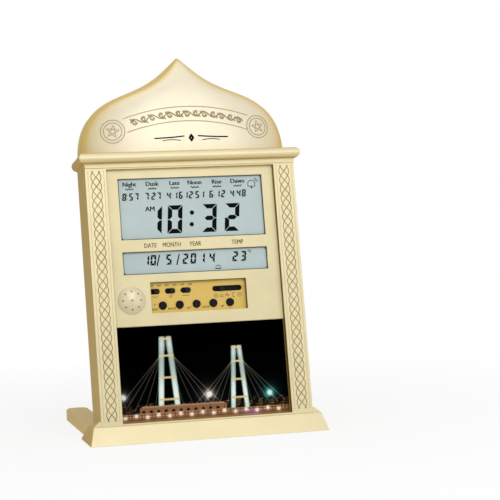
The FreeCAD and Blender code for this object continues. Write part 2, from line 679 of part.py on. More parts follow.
# Speaker: a perforated cap domed toward the viewer, and the driver behind it
def make_speaker():
    base = "Size.panel_setback"
    radius = size("speaker_radius")
    rise = size("speaker_rise")
    ball = (radius ** 2 + rise ** 2) / (2 * rise)
    centre = Vector(size("speaker_across"), size("panel_setback") - rise + ball, size("speaker_up"))
    thick = size("wall") / 2
    shell = Part.makeSphere(ball, centre).cut(Part.makeSphere(ball - thick, centre))
    plug = Part.makeCylinder(radius, rise + size("panel_wall"),
                             Vector(centre.x, size("panel_setback") - rise, centre.z), Vector(0, 1, 0))
    ring = Part.makeCylinder(radius, size("panel_wall"),
                             Vector(centre.x, size("panel_setback"), centre.z), Vector(0, 1, 0))
    bore = Part.makeCylinder(radius - thick, size("panel_wall") + size("overcut"),
                             Vector(centre.x, size("panel_setback"), centre.z), Vector(0, 1, 0))
    front_half = Part.makeBox(4 * radius, rise + size("overlap") / 20, 4 * radius,
                              Vector(centre.x - 2 * radius, size("panel_setback") - rise,
                                     centre.z - 2 * radius))
    cap = shell.common(plug).common(front_half).fuse(ring.cut(bore))
    flange = Part.makeCylinder(radius + size("wall"), size("flange_thick"),
                               Vector(centre.x, size("panel_setback") + size("panel_wall"), centre.z),
                               Vector(0, 1, 0))
    opening = Part.makeCylinder(radius - thick, size("flange_thick"),
                                Vector(centre.x, size("panel_setback") + size("panel_wall"), centre.z),
                                Vector(0, 1, 0))
    cap = cap.fuse(flange.cut(opening)).removeSplitter()
    places = [(0, 0)]
    for turn in range(8):
        angle = math.radians(45 * turn)
        places.append((size("sound_ring") * math.cos(angle), size("sound_ring") * math.sin(angle)))
    for across, up in places:
        cap = cap.cut(Part.makeCylinder(size("sound_hole"), 2 * rise,
                                        Vector(centre.x + across, size("panel_setback") - 1.2 * rise,
                                               centre.z + up), Vector(0, 1, 0)))
    piece = doc.addObject("Part::Feature", "speaker_cap_shape")
    piece.Shape = cap
    keep(piece, "speaker_cap")
    back = f"{PANEL_BACK} + Size.flange_thick"
    frame = rod("driver_frame", "Size.speaker_across", (back, f"{back} + Size.driver_depth / 3"),
                "Size.speaker_up", "Size.driver_radius")
    basket = rod("driver_magnet", "Size.speaker_across",
                 (f"{back} + Size.driver_depth / 3", f"{back} + Size.driver_depth"),
                 "Size.speaker_up", "Size.driver_radius * 0.62")
    keep(fuse("driver_joined", [frame, basket]), "speaker_driver")


# Displays: two glass modules in one carrier on the main board. Components are placed
# by shares of the board, and sized by shares of the largest one
CHIPS = [(-0.29, 0.545, 1, 1, 1), (0.32, 0.6, 0.7, 0.57, 1),
         (0.65, 0.27, 0.57, 0.29, 2), (-0.72, 0.155, 0.64, 0.64, 3.5)]


def make_displays():
    for name, low, high in (("lcd_main", "main_low", "main_high"), ("lcd_date", "date_low", "date_high")):
        keep(block(name + "_glass", (f"-{GLASS_HALF}", GLASS_HALF), (PANEL_BACK, GLASS_BACK),
                   (f"Size.{low} - Size.lcd_lap", f"Size.{high} + Size.lcd_lap")), name)
    across = (f"-{GLASS_HALF} - Size.carrier_rim", f"{GLASS_HALF} + Size.carrier_rim")
    up = ("Size.date_low - Size.lcd_lap - Size.carrier_rim / 2",
          "Size.main_high + Size.lcd_lap + Size.carrier_rim / 2")
    plate = block("carrier_plate", across, (GLASS_BACK, BOARD_FRONT), up)
    windows = []
    for low, high in (("main_low", "main_high"), ("date_low", "date_high")):
        windows.append(block(f"carrier_{low}", ("-Size.lcd_half", "Size.lcd_half"),
                             (f"{GLASS_BACK} - Size.overcut", f"{BOARD_FRONT} + Size.overcut"),
                             (f"Size.{low} + Size.lcd_lap", f"Size.{high} - Size.lcd_lap")))
    keep(cut("carrier_cut", plate, windows), "lcd_carrier")
    keep(block("board", across, (BOARD_FRONT, f"{BOARD_FRONT} + Size.board_thick"), up), "main_board")
    back = f"({BOARD_FRONT} + Size.board_thick)"
    chips = []
    for number, (across, up, wide, high, deep) in enumerate(CHIPS):
        left = f"Size.lcd_half * {across}"
        low = f"Size.date_low + (Size.main_high - Size.date_low) * {up}"
        chips.append(block(f"chip_{number}", (left, f"{left} + Size.chip_side * {wide}"),
                           (back, f"{back} + Size.chip_thick * {deep}"),
                           (low, f"{low} + Size.chip_side * {high}")))
    keep(group("board_parts_group", chips), "board_parts")


# Controls: plate, five buttons, three slides and a long selector over one board
def slot_at(name, centre, length, depth):
    """Rounded slot through the control plate."""
    reach = f"({length} - Size.slot_height) / 2"
    middle = block(name + "_middle", (f"{centre} - {reach}", f"{centre} + {reach}"), depth,
                   ("Size.switch_row - Size.slot_height / 2", "Size.switch_row + Size.slot_height / 2"))
    ends = [rod(f"{name}_end_{side + 1}", f"{centre} + {side} * {reach}", depth, "Size.switch_row",
                "Size.slot_height / 2") for side in (-1, 1)]
    return [middle] + ends


def make_control_plate():
    body = doc.addObject("PartDesign::Body", "plate_body")
    outline = sketch_in(body, "plate_outline", PLATE_FRONT)
    draw_rectangle(outline, ("Size.recess_left - Size.wall", "Size.recess_right + Size.wall"),
                   ("Size.recess_low - Size.wall", "Size.recess_high + Size.wall"))
    pad_back(body, outline, "plate_pad", "Size.plate_thick")
    doc.recompute()
    hole = sketch_in(body, "plate_button_hole", PLATE_FRONT)
    draw_circle(hole, "Size.button_first", "Size.button_row", "Size.button_radius + Size.fit_gap")
    doc.recompute()
    first = pocket_back(body, hole, "plate_first_hole")
    pattern(body, first, "plate_holes", "Size.button_pitch * 4", 5, hole)
    depth = (f"{PLATE_FRONT} - Size.overcut", f"{PLATE_BACK} + Size.overcut")
    slots = slot_at("selector_slot", "Size.selector_centre", "Size.selector_slot", depth)
    for number in range(3):
        centre = f"(Size.switch_first + {number} * Size.switch_pitch)"
        slots += slot_at(f"switch_slot_{number + 1}", centre, "Size.slot_length", depth)
    keep(cut("plate_cut", body, slots), "control_plate")


def make_buttons():
    for number in range(5):
        name = f"button_{number + 1}"
        body = doc.addObject("PartDesign::Body", name + "_body")
        x = f"Size.button_first + {number} * Size.button_pitch"
        front = f"{PLATE_FRONT} - Size.button_proud"
        cap = sketch_in(body, name + "_cap", front)
        draw_circle(cap, x, "Size.button_row", "Size.button_radius")
        rounded = pad_back(body, cap, name + "_cap_pad", f"{FLANGE_FRONT} + Size.overlap - ({front})")
        doc.recompute()
        rings = [(edge.Curve.Center.y, index) for index, edge in enumerate(body.Tip.Shape.Edges, start=1)
                 if isinstance(edge.Curve, Part.Circle)]
        edge_round = body.newObject("PartDesign::Fillet", name + "_round")
        edge_round.Base = (rounded, [f"Edge{min(rings)[1]}"])
        edge_round.setExpression("Radius", "Size.button_radius / 6")
        doc.recompute()
        flange = sketch_in(body, name + "_flange", FLANGE_FRONT)
        draw_circle(flange, x, "Size.button_row", "Size.button_radius + Size.button_rim")
        pad_back(body, flange, name + "_flange_pad", "Size.flange_thick")
        keep(body, name)


def make_knob(name, centre):
    """Slide knob: a round-cornered block in its slot on a wider carriage behind the plate."""
    half = "Size.knob_length / 2"
    tall = "(Size.slot_height / 2 - Size.fit_gap)"
    near = "Size.knob_corner"
    deep = (f"{PLATE_FRONT} - Size.knob_proud", f"{FLANGE_FRONT} + Size.overlap")
    parts = [
        block(name + "_wide", (f"{centre} - {half}", f"{centre} + {half}"), deep,
              (f"Size.switch_row - {tall} + {near}", f"Size.switch_row + {tall} - {near}")),
        block(name + "_tall", (f"{centre} - {half} + {near}", f"{centre} + {half} - {near}"), deep,
              (f"Size.switch_row - {tall}", f"Size.switch_row + {tall}")),
        block(name + "_carriage", (f"{centre} - {half} - Size.fit_gap", f"{centre} + {half} + Size.fit_gap"),
              (FLANGE_FRONT, FLANGE_BACK),
              ("Size.switch_row - Size.slot_height / 2 - Size.carriage_rim",
               "Size.switch_row + Size.slot_height / 2 + Size.carriage_rim"))]
    for side in (-1, 1):
        for level in (-1, 1):
            parts.append(rod(f"{name}_corner_{side + 1}_{level + 1}",
                             f"{centre} + {side} * ({half} - {near})", deep,
                             f"Size.switch_row + {level} * ({tall} - {near})", near))
    keep(fuse(name + "_joined", parts), name)


def make_switches():
    for number in range(3):
        centre = f"(Size.switch_first + {number} * Size.switch_pitch + Size.switch_travel / 2)"
        make_knob(f"switch_knob_{number + 1}", centre)
    make_knob("selector_knob", "(Size.selector_centre - Size.selector_pitch)")
    tall = "(Size.slot_height / 2 + Size.carriage_rim)"
    up = (f"Size.switch_row - {tall}", f"Size.switch_row + {tall}")
    short = "(Size.slot_length / 2 + Size.housing_rim)"
    long = "(Size.selector_slot / 2 + Size.housing_rim)"
    housings = []
    for number in range(3):
        centre = f"(Size.switch_first + {number} * Size.switch_pitch)"
        housings.append(block(f"housing_{number}", (f"{centre} - {short}", f"{centre} + {short}"),
                              (SWITCH_FRONT, SWITCH_BACK), up))
    housings.append(block("housing_long",
                          (f"Size.selector_centre - {long}", f"Size.selector_centre + {long}"),
                          (SWITCH_FRONT, SWITCH_BACK), up))
    keep(group("housing_group", housings), "slide_housings")
    tacts = []
    side = "Size.tact_side / 2"
    for number in range(5):
        centre = f"(Size.button_first + {number} * Size.button_pitch)"
        low = f"{FLANGE_BACK} + Size.button_travel + Size.fit_gap"
        tacts.append(block(f"tact_{number}", (f"{centre} - {side}", f"{centre} + {side}"),
                           (low, SWITCH_BACK), (f"Size.button_row - {side}", f"Size.button_row + {side}")))
    keep(group("tact_group", tacts), "tact_switches")
    keep(block("board_low", ("Size.recess_left - Size.wall", "Size.recess_right + Size.wall"),
               (SWITCH_BACK, f"{SWITCH_BACK} + Size.board_thick"),
               ("Size.recess_low - Size.wall", "Size.recess_high + Size.wall")), "control_board")


# Back: the flat cover with its keyhole, battery box, cells and contacts
def make_back_cover():
    gap = size("fit_gap")
    wall = size("wall")
    half = size("body_width") / 2 - wall - gap
    dome_half = size("dome_half") - wall - gap
    foot = size("cornice_top") + gap
    rise = size("dome_rise") - 1.5 * wall - 2 * gap
    depth = size("body_depth") - size("cover_thick")
    curves = [curve.toShape() for curve in ogee_curves(dome_half, rise, foot)]
    mirrored = [edge.mirror(Vector(0, 0, 0), Vector(1, 0, 0)) for edge in curves]
    base = gap
    shoulder = foot - gap
    corners = [Vector(-dome_half, 0, foot), Vector(-half, 0, shoulder), Vector(-half, 0, base),
               Vector(half, 0, base), Vector(half, 0, shoulder), Vector(dome_half, 0, foot)]
    sides = [Part.makeLine(a, b) for a, b in zip(corners, corners[1:])]
    outline = Part.Wire(Part.__sortEdges__(curves + mirrored + sides))
    plate = Part.Face(outline).extrude(Vector(0, size("cover_thick"), 0))
    plate.translate(Vector(0, depth, 0))
    blank = doc.addObject("Part::Feature", "cover_blank")
    blank.Shape = plate
    through = (f"{COVER_FRONT} - Size.overcut", "Size.body_depth + Size.overcut")
    tools = [block("cover_bay", ("-Size.bay_half", "Size.bay_half"), through,
                   ("Size.bay_low", "Size.bay_high")),
             rod("cover_key", "0", through, "Size.key_height", "Size.key_radius"),
             block("cover_key_slot", ("-Size.key_slot / 2", "Size.key_slot / 2"), through,
                   ("Size.key_height", "Size.key_height + Size.key_rise")),
             rod("cover_key_end", "0", through, "Size.key_height + Size.key_rise", "Size.key_slot / 2"),
             rod("cover_screw_dome", "0", through, "Size.boss_dome", "Size.screw_hole")]
    for number, (side, height) in enumerate(BOSSES):
        tools.append(rod(f"cover_screw_{number}", f"{side} * Size.boss_across", through,
                         f"Size.{height}", "Size.screw_hole"))
    vent_left = "Size.speaker_across + Size.speaker_radius / 3"
    vent_low = "Size.speaker_up + Size.driver_radius + Size.wall / 2"
    vent = block("cover_vent", (vent_left, f"{vent_left} + Size.vent_width"), through,
                 (vent_low, f"{vent_low} + Size.vent_height"))
    radius = size("crescent_radius")
    shift = size("crescent_shift")
    cutter = size("cover_thick") + 2 * size("overcut")
    middle = Vector(size("speaker_across"), depth - size("overcut"), size("speaker_up") + radius * 0.8)
    crescent = Part.makeCylinder(radius, cutter, middle, Vector(0, 1, 0))
    aside = middle + Vector(shift / 2, 0, shift * 0.87)
    crescent = crescent.cut(Part.makeCylinder(radius + shift / 6, cutter, aside, Vector(0, 1, 0)))
    curved = doc.addObject("Part::Feature", "cover_crescent")
    curved.Shape = crescent
    tools += [vent, curved]
    keep(cut("cover_cut", blank, tools), "back_cover")


def make_battery_bay():
    rim = "Size.bay_wall"
    outside = block("box_outside", (f"-Size.bay_half - {rim}", f"Size.bay_half + {rim}"),
                    (f"{BAY_FLOOR} - {rim}", COVER_FRONT),
                    (f"Size.bay_low - {rim}", f"Size.bay_high + {rim}"))
    inside = block("box_inside", ("-Size.bay_half", "Size.bay_half"), (BAY_FLOOR, "Size.body_depth"),
                   ("Size.bay_low", "Size.bay_high"))
    keep(cut("box_cut", outside, [inside]), "battery_box")
    strips = []
    springs = []
    for number in range(3):
        side = 1 if number % 2 == 0 else -1
        up = f"(Size.bay_low + Size.cell_pitch * ({number} + 0.5))"
        deep = f"({BAY_FLOOR} + Size.cell_radius + Size.fit_gap)"
        make_cell(f"cell_{number + 1}", side, up, deep)
        for end in (-1, 1):
            wall_x = f"{end} * (Size.bay_half - Size.contact_thick)"
            ends = (wall_x, "Size.bay_half") if end > 0 else ("-Size.bay_half", wall_x)
            strips.append(block(f"strip_{number}_{end + 1}", ends,
                                (f"{deep} - Size.contact_half", f"{deep} + Size.contact_half"),
                                (f"{up} - Size.contact_half", f"{up} + Size.contact_half")))
        springs.append(make_spring(f"spring_{number}", -side, up, deep))
    keep(group("strip_group", strips), "contact_strips")
    keep(group("spring_group", springs), "contact_springs")


def turned(name, kind, x, y, z, toward):
    """Cylinder or cone lying across the case, pointing along X."""
    solid = doc.addObject(kind, name)
    solid.Placement = FreeCAD.Placement(Vector(0, 0, 0), FreeCAD.Rotation(Vector(0, 1, 0), 90 * toward))
    for axis, place in (("x", x), ("y", y), ("z", z)):
        solid.setExpression(f"Placement.Base.{axis}", place)
    return solid


def make_cell(name, side, up, deep):
    """Round cell lying across the bay, its nub against the contact strip on one side."""
    reach = "(Size.bay_half - Size.contact_thick - Size.nub_length - Size.nub_gap)"
    start = f"{side} * ({reach} - Size.cell_length)"
    can = turned(name + "_can", "Part::Cylinder", start, deep, up, side)
    can.setExpression("Radius", "Size.cell_radius")
    can.setExpression("Height", "Size.cell_length")
    nub = turned(name + "_nub", "Part::Cylinder", f"{side} * ({reach} - Size.overlap)", deep, up, side)
    nub.setExpression("Radius", "Size.nub_radius")
    nub.setExpression("Height", "Size.nub_length + Size.overlap")
    keep(fuse(name + "_joined", [can, nub]), name)


def make_spring(name, side, up, deep):
    """Coil spring space at the flat end of a cell, widest at the strip."""
    strip = f"{side} * (Size.bay_half - Size.contact_thick)"
    cone = turned(name, "Part::Cone", strip, deep, up, -side)
    cone.setExpression("Radius1", "Size.spring_radius")
    cone.setExpression("Radius2", "Size.spring_radius * 0.6")
    cone.setExpression("Height", "Size.spring_length")
    return cone


def make_case_screws():
    places = [(f"{side} * Size.boss_across", f"Size.{height}") for side, height in BOSSES]
    places.append(("0", "Size.boss_dome"))
    screws = []
    for number, (x, z) in enumerate(places):
        head = rod(f"screw_head_{number}", x, ("Size.body_depth", "Size.body_depth + Size.head_thick"), z,
                   "Size.screw_head")
        shank = rod(f"screw_shank_{number}", x,
                    (f"{COVER_FRONT} - Size.screw_short", "Size.body_depth + Size.overlap"), z,
                    "Size.screw_radius")
        screws.append(fuse(f"screw_{number}", [head, shank]))
    keep(group("screw_group", screws), "case_screws")


for make in (make_case_shell, make_dome_hood, make_cornice, make_plinth, make_front_panel,
             make_picture, make_speaker, make_displays, make_control_plate, make_buttons,
             make_switches, make_back_cover, make_battery_bay, make_case_screws, make_foot_screws):
    make()
make_foot("foot_left", -1)
make_foot("foot_right", 1)

doc.recompute()
faults = [item.Name for item in doc.Objects if "Invalid" in item.State or "Error" in item.State]
if faults:
    raise RuntimeError("failed objects: " + ", ".join(faults))
os.makedirs("parts", exist_ok=True)
for piece in nodes:
    shape = piece.Shape
    if shape.isNull() or not shape.isValid() or shape.Volume <= 0:
        raise RuntimeError("bad shape: " + piece.Label)
for piece in nodes:
    piece.Shape.exportStep(os.path.join("parts", piece.Label + ".step"))
    bounds = piece.Shape.BoundBox
    print(f"{piece.Label:18s} solids {len(piece.Shape.Solids)} volume {piece.Shape.Volume:10.1f}"
          f"  X {bounds.XMin:.1f} {bounds.XMax:.1f}  Y {bounds.YMin:.1f} {bounds.YMax:.1f}"
          f"  Z {bounds.ZMin:.1f} {bounds.ZMax:.1f}")
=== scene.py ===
import math

import bmesh
import bpy
import numpy as np
from bpy.props import FloatProperty, FloatVectorProperty, PointerProperty
from mathutils import Matrix, Vector


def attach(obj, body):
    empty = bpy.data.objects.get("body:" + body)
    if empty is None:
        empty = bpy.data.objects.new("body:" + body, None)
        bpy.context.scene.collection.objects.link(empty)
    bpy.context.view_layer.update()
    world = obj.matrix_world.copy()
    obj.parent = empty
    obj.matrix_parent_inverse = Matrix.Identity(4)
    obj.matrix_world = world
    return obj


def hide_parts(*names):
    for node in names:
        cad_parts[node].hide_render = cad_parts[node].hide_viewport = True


bl_info = {
    "name": "Azan Table Clock",
    "version": (1, 0, 0),
    "blender": (4, 5, 0),
    "location": "View3D > Sidebar > Clock",
    "description": "Finished pieces, materials and studio for a leaning table clock with a domed top",
    "category": "Object",
}

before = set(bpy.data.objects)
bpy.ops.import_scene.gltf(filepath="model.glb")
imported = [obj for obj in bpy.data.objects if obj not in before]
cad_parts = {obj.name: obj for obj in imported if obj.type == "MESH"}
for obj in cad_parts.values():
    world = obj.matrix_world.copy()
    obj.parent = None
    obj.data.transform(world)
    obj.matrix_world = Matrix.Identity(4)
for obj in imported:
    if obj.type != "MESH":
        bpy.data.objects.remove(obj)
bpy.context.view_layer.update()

# Pieces are drawn in the leaning case: x right, y back from the column fronts, z up the
# face from the foot of the columns, all in millimetres.
LEAN = math.radians(10)
STANCE = -80.25
RISE = 17.5
CASE_HALF = 100.0
CASE_BACK = 42.0
COLUMN = 90.0            # middle of a column
COLUMN_ENDS = (2.5, 233.5)
OPENING = 80.0           # half width between the columns
OPENING_TOP = 235.0
CORNICE_TOP = 249.7
# depths of the faces behind the column fronts
PANEL = 5.0
GLASS_FACE = 7.4
PICTURE_FACE = 9.0
PLATE = 9.7
# rectangles on the front: left, right, low, high
RECESS = (-45.0, 46.3, 99.7, 128.2)
WINDOWS = ((-69.0, 69.0, 136.1, 157.1), (-69.0, 69.0, 168.6, 225.8))
# controls: first one, step to the next, height up the face
BUTTON_FIRST, BUTTON_STEP, BUTTON_UP = -33.6, 16.05, 106.7
SLIDE_FIRST, SLIDE_STEP, SLIDE_UP = -40.5, 14.75, 120.0
SLIDE_AT_REST = 1.8      # knob from the middle of its slot
SELECTOR, SELECTOR_AT_REST = 28.7, -5.4
# cells in the bay: radius, middle of the lowest, step to the next, depth of their middles
CELL, CELL_FIRST, CELL_STEP, CELL_DEPTH = 7.1, 13.3, 14.8, 32.4


# ---------------------------------------------------------------- sizes and colours
def linear(hex_text):
    """sRGB hex to the linear colour that a shader takes: value / 12.92 up to 0.04045, and
    ((value + 0.055) / 1.055) ^ 2.4 above it."""
    value = [int(hex_text.lstrip("#")[i:i + 2], 16) / 255 for i in (0, 2, 4)]
    return [v / 12.92 if v <= 0.04045 else ((v + 0.055) / 1.055) ** 2.4 for v in value] + [1.0]


def length(name, note, value):
    """A length that a user may change, in metres."""
    return FloatProperty(name=name, description=note, default=value, unit="LENGTH", min=0.0,
                         precision=5)


def paint(name, note, hex_text):
    """A colour that a user may change."""
    return FloatVectorProperty(name=name, description=note, default=linear(hex_text), size=4,
                               subtype="COLOR", min=0.0, max=1.0)


class ClockSizes(bpy.types.PropertyGroup):
    edge_round: length("Edge round", "Rounding of the moulded case edges", 0.0008)
    base_round: length("Base round", "Rounding of the plinth edges", 0.0016)
    strand_width: length("Strand width", "Width of a lattice strand", 0.0008)
    strand_rise: length("Strand rise", "How far a lattice strand stands proud", 0.00035)
    strand_swing: length("Strand swing", "Sideways swing of a lattice strand", 0.0047)
    strand_wave: length("Strand wave", "Length of one strand wave up a column", 0.035)
    bead: length("Bead", "Width of a border bead", 0.0009)
    dome_line: length("Dome line", "Width of the raised lines on the dome", 0.0009)
    digit_stroke: length("Digit stroke", "Stroke of the large time digits", 0.0042)
    print_cell: length("Print cell", "Cell of the printed picture", 0.00045)


class ClockColours(bpy.types.PropertyGroup):
    # case is the paint's colour on faces toward the front; shade is painted shade, the deeper gold it
    # turns to on sides and undersides
    case: paint("Case", "Champagne gold paint where the spray meets it square", "#E6DAB2")
    shade: paint("Case sides", "The thinner, deeper gold on sides and undersides", "#C9AC63")
    relief: paint("Relief", "Raised lines on the dome and columns", "#A79765")
    # dome is the creamy colour where the dome faces the front: a painted highlight
    dome: paint("Dome", "Thicker, paler top coat of the dome", "#EDE4CC")
    panel: paint("Panel", "Front panel", "#E1D5AC")
    plate: paint("Plate", "Sunken control plate", "#D6B65E")
    cap: paint("Speaker cap", "Perforated cap", "#E3D7B3")
    display: paint("Display", "Display background", "#C2D3D4")
    ink: paint("Ink", "Display digits", "#060708")
    print_ink: paint("Label ink", "Printed words on the panel", "#3E3119")
    black: paint("Black plastic", "Buttons and slides", "#0D0D11")
    cover: paint("Cover", "Back cover", "#33343A")


# ---------------------------------------------------------------- shapes from numbers
def stand(points):
    """Case millimetres to metres on the floor: a turn about x by the lean, then a shift."""
    p = np.asarray(points, float).reshape(-1, 3)
    c, s = math.cos(LEAN), math.sin(LEAN)
    turned = [p[:, 0], c * p[:, 1] + s * p[:, 2] + STANCE, RISE + c * p[:, 2] - s * p[:, 1]]
    return np.stack(turned, 1) / 1000


def sheet_faces(rows, columns, wrap_rows=False, wrap_columns=False):
    """Four-sided faces of a grid: each joins a point to its next column, next row and both."""
    r = np.arange(rows if wrap_rows else rows - 1)[:, None]
    c = np.arange(columns if wrap_columns else columns - 1)[None, :]
    r2, c2 = (r + 1) % rows, (c + 1) % columns
    corners = (r * columns + c, r * columns + c2, r2 * columns + c2, r2 * columns + c)
    return np.stack(np.broadcast_arrays(*corners), -1).reshape(-1, 4)


def gather(parts):
    """Several (points, faces) pairs as one pair, each part's faces counted on from the last."""
    points, faces, start = [], [], 0
    for p, f in parts:
        points.append(np.asarray(p, float).reshape(-1, 3))
        faces += (np.asarray(f) + start).tolist() if isinstance(f, np.ndarray) else \
            [[i + start for i in face] for face in f]
        start += len(points[-1])
    return np.concatenate(points), faces


def piece(name, points, faces, finish, body="case", sharp=40, merge=0.0, outward=False):
    """Object at the origin from metre points and faces, smooth up to an angle, riding on a body."""
    mesh = bpy.data.meshes.new(name)
    faces = faces.tolist() if isinstance(faces, np.ndarray) else faces
    mesh.from_pydata(np.asarray(points).tolist(), [], faces)
    if merge or outward:
        work = bmesh.new()
        work.from_mesh(mesh)
        if merge:
            bmesh.ops.remove_doubles(work, verts=work.verts, dist=merge)
        if outward:
            bmesh.ops.recalc_face_normals(work, faces=work.faces)
        work.to_mesh(mesh)
        work.free()
    mesh.validate()
    mesh.polygons.foreach_set("use_smooth", np.ones(len(mesh.polygons), bool))
    mesh.set_sharp_from_angle(angle=math.radians(sharp))
    return place(bpy.data.objects.new(name, mesh), finish, body)


def place(obj, finish, body="case"):
    """Link a finished object, give it its material and let it ride."""
    if obj.name not in bpy.context.scene.collection.objects:
        bpy.context.scene.collection.objects.link(obj)
    if finish is not None:
        obj.data.materials.clear()
        obj.data.materials.append(finish)
    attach(obj, body)
    return obj


def dress(node, finish):
    """Give a CAD node that stays in view its material."""
    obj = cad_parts[node]
    obj.data.materials.clear()
    obj.data.materials.append(finish)
    return obj


def soften(node, finish, width, shortest=0.004):
    """Copy of a CAD node with its long sharp edges rounded; the copy stands for the node.
    An edge is rounded where its faces turn by 30 degrees or more and it is longer than shortest."""
    corner, sharp = 0.52, math.radians(30)
    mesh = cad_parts[node].data.copy()
    mesh.name = node + "_finish"
    if "custom_normal" in mesh.attributes:
        mesh.attributes.remove(mesh.attributes["custom_normal"])
    work = bmesh.new()
    work.from_mesh(mesh)
    bmesh.ops.remove_doubles(work, verts=work.verts, dist=1e-6)
    weight = work.edges.layers.float.new("bevel_weight_edge")
    for edge in work.edges:
        long = len(edge.link_faces) == 2 and edge.calc_length() > shortest
        if long and edge.calc_face_angle(0) > corner:
            edge[weight] = 1.0
    work.to_mesh(mesh)
    work.free()
    mesh.polygons.foreach_set("use_smooth", np.ones(len(mesh.polygons), bool))
    mesh.set_sharp_from_angle(angle=sharp)
    obj = bpy.data.objects.new(node + "_finish", mesh)
    bpy.context.scene.collection.objects.link(obj)
    bevel = obj.modifiers.new("Round", "BEVEL")
    bevel.width = width
    bevel.segments = 3
    bevel.limit_method = "WEIGHT"
    bevel.use_clamp_overlap = True
    bevel.harden_normals = True
    even = obj.modifiers.new("Even shade", "WEIGHTED_NORMAL")
    even.keep_sharp = True
    even.weight = 100
    view = bpy.context.evaluated_depsgraph_get()
    final = bpy.data.meshes.new_from_object(obj.evaluated_get(view))
    obj.modifiers.clear()
    obj.data = final
    place(obj, finish)
    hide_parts(node)
    return obj


def lathe(profile, count=48):
    """Closed turned solid: each profile point (radius, height) runs round a full circle."""
    profile = np.asarray(profile, float)
    turn = np.linspace(0, 2 * math.pi, count, endpoint=False)
    r, h = profile[:, :1], profile[:, 1:]
    points = np.stack(np.broadcast_arrays(r * np.cos(turn), r * np.sin(turn), h), -1)
    return points.reshape(-1, 3), sheet_faces(len(profile), count, wrap_columns=True)


def prisms(outlines, front, back):
    """Flat convex shapes (x, z) given a thickness from front to back: two faces and a side
    wall each."""
    parts = []
    for outline in outlines:
        flat = np.asarray(outline, float)
        n = len(flat)
        turn = np.cross(flat[1] - flat[0], flat[2] - flat[1])
        flat = flat if turn > 0 else flat[::-1]
        ring = np.concatenate([np.insert(flat, 1, front, 1), np.insert(flat, 1, back, 1)])
        i = np.arange(n)
        sides = np.stack([i, i + n, (i + 1) % n + n, (i + 1) % n], 1).tolist()
        parts.append((ring, [list(range(n)), list(range(2 * n - 1, n - 1, -1))] + sides))
    return parts


def tube(path, width, rise, surface, closed=False, round_steps=8):
    """Raised line: a flattened ellipse carried along a path (x, z) at right angles to it, half
    sunk in the surface; its ends close to a point. surface gives y at (x, z)."""
    path = np.asarray(path, float)
    if closed:
        tangent = np.roll(path, -1, 0) - np.roll(path, 1, 0)
    else:
        tangent = np.gradient(path, axis=0)
    tangent /= np.linalg.norm(tangent, axis=1, keepdims=True)
    across = np.stack([tangent[:, 1], -tangent[:, 0]], 1)
    shrink = np.ones(len(path))
    if not closed:
        shrink[[0, -1]] = 0.02
        shrink[[1, -2]] = np.maximum(shrink[[1, -2]] * 0.8, 0.02)
    angle = np.linspace(0, 2 * math.pi, round_steps, endpoint=False)
    side = shrink[:, None] * np.cos(angle) * width / 2
    flat = path[:, None, :] + across[:, None, :] * side[..., None]
    depth = surface(flat[..., 0], flat[..., 1]) - shrink[:, None] * np.sin(angle) * rise
    points = np.stack([flat[..., 0], depth, flat[..., 1]], -1)
    faces = sheet_faces(len(path), round_steps, wrap_rows=closed, wrap_columns=True).tolist()
    if not closed:
        last = (len(path) - 1) * round_steps
        faces += [list(range(round_steps))[::-1], list(range(last, last + round_steps))]
    return points.reshape(-1, 3), faces


def level_face(depth):
    """Surface function of a flat face at one depth."""
    return lambda x, z: np.full(np.shape(x), float(depth))


def ring(x, z, radius, count=72):
    """Circle about (x, z)."""
    turn = np.linspace(0, 2 * math.pi, count, endpoint=False)
    return np.stack([x + radius * np.cos(turn), z + radius * np.sin(turn)], 1)


def words(name, lines, depth, finish, bold=0.0, squeeze=1.0):
    """Printed words: each line (text, x, z, height) becomes a flat mesh standing on a face, its
    letters drawn in sideways by the squeeze. Bold words are struck twice, bold to either side."""
    parts, thick = [], 0.02
    for text, x, z, high in lines:
        curve = bpy.data.curves.new(name, "FONT")
        curve.body = text
        curve.align_x = "CENTER"
        curve.align_y = "CENTER"
        curve.size = high * 1.38      # the type's size for capitals of this height
        curve.extrude = thick
        curve.resolution_u = 3
        holder = bpy.data.objects.new(name, curve)
        bpy.context.scene.collection.objects.link(holder)
        view = bpy.context.evaluated_depsgraph_get()
        mesh = bpy.data.meshes.new_from_object(holder.evaluated_get(view))
        co = np.empty(len(mesh.vertices) * 3)
        mesh.vertices.foreach_get("co", co)
        co = co.reshape(-1, 3)
        flat = np.stack([co[:, 0] * squeeze + x, depth - thick - co[:, 2], co[:, 1] + z], 1)
        faces = [list(p.vertices) for p in mesh.polygons]
        for strike in ((-bold, bold) if bold else (0.0,)):
            # the second strike lies a hair deeper, so that no two faces are in one place
            parts.append((flat + (strike, 0.004 * (strike > 0), 0), faces))
        bpy.data.objects.remove(holder)
        bpy.data.meshes.remove(mesh)
        bpy.data.curves.remove(curve)
    points, faces = gather(parts)
    return piece(name, stand(points), faces, finish, sharp=30, merge=1e-7)


# ---------------------------------------------------------------- materials
def add(tree, kind, settings=None, links=None):
    """One node with its settings (attributes or sockets) and the sockets that feed it."""
    item = tree.nodes.new(kind)
    for key, value in (settings or {}).items():
        if isinstance(key, int) or key in item.inputs:
            item.inputs[key].default_value = value
        else:
            setattr(item, key, value)
    for key, source in (links or {}).items():
        tree.links.new(source, item.inputs[key])
    return item


def blank(name):
    """Empty node material."""
    made = bpy.data.materials.new(name)
    made.use_nodes = True
    made.node_tree.nodes.clear()
    return made, made.node_tree


def skin(tree, spot_mm, grain, bump_mm):
    """Fine bumps spot_mm wide that break up highlights: the normal they give."""
    where = add(tree, "ShaderNodeTexCoord")
    spots = add(tree, "ShaderNodeTexNoise",
                {"Scale": 1000.0 / spot_mm, "Detail": 2.0, "Roughness": 0.5},
                {"Vector": where.outputs["Object"]})
    bump = add(tree, "ShaderNodeBump", {"Strength": grain, "Distance": bump_mm / 1000},
               {"Height": spots.outputs[0]})
    return bump.outputs[0]


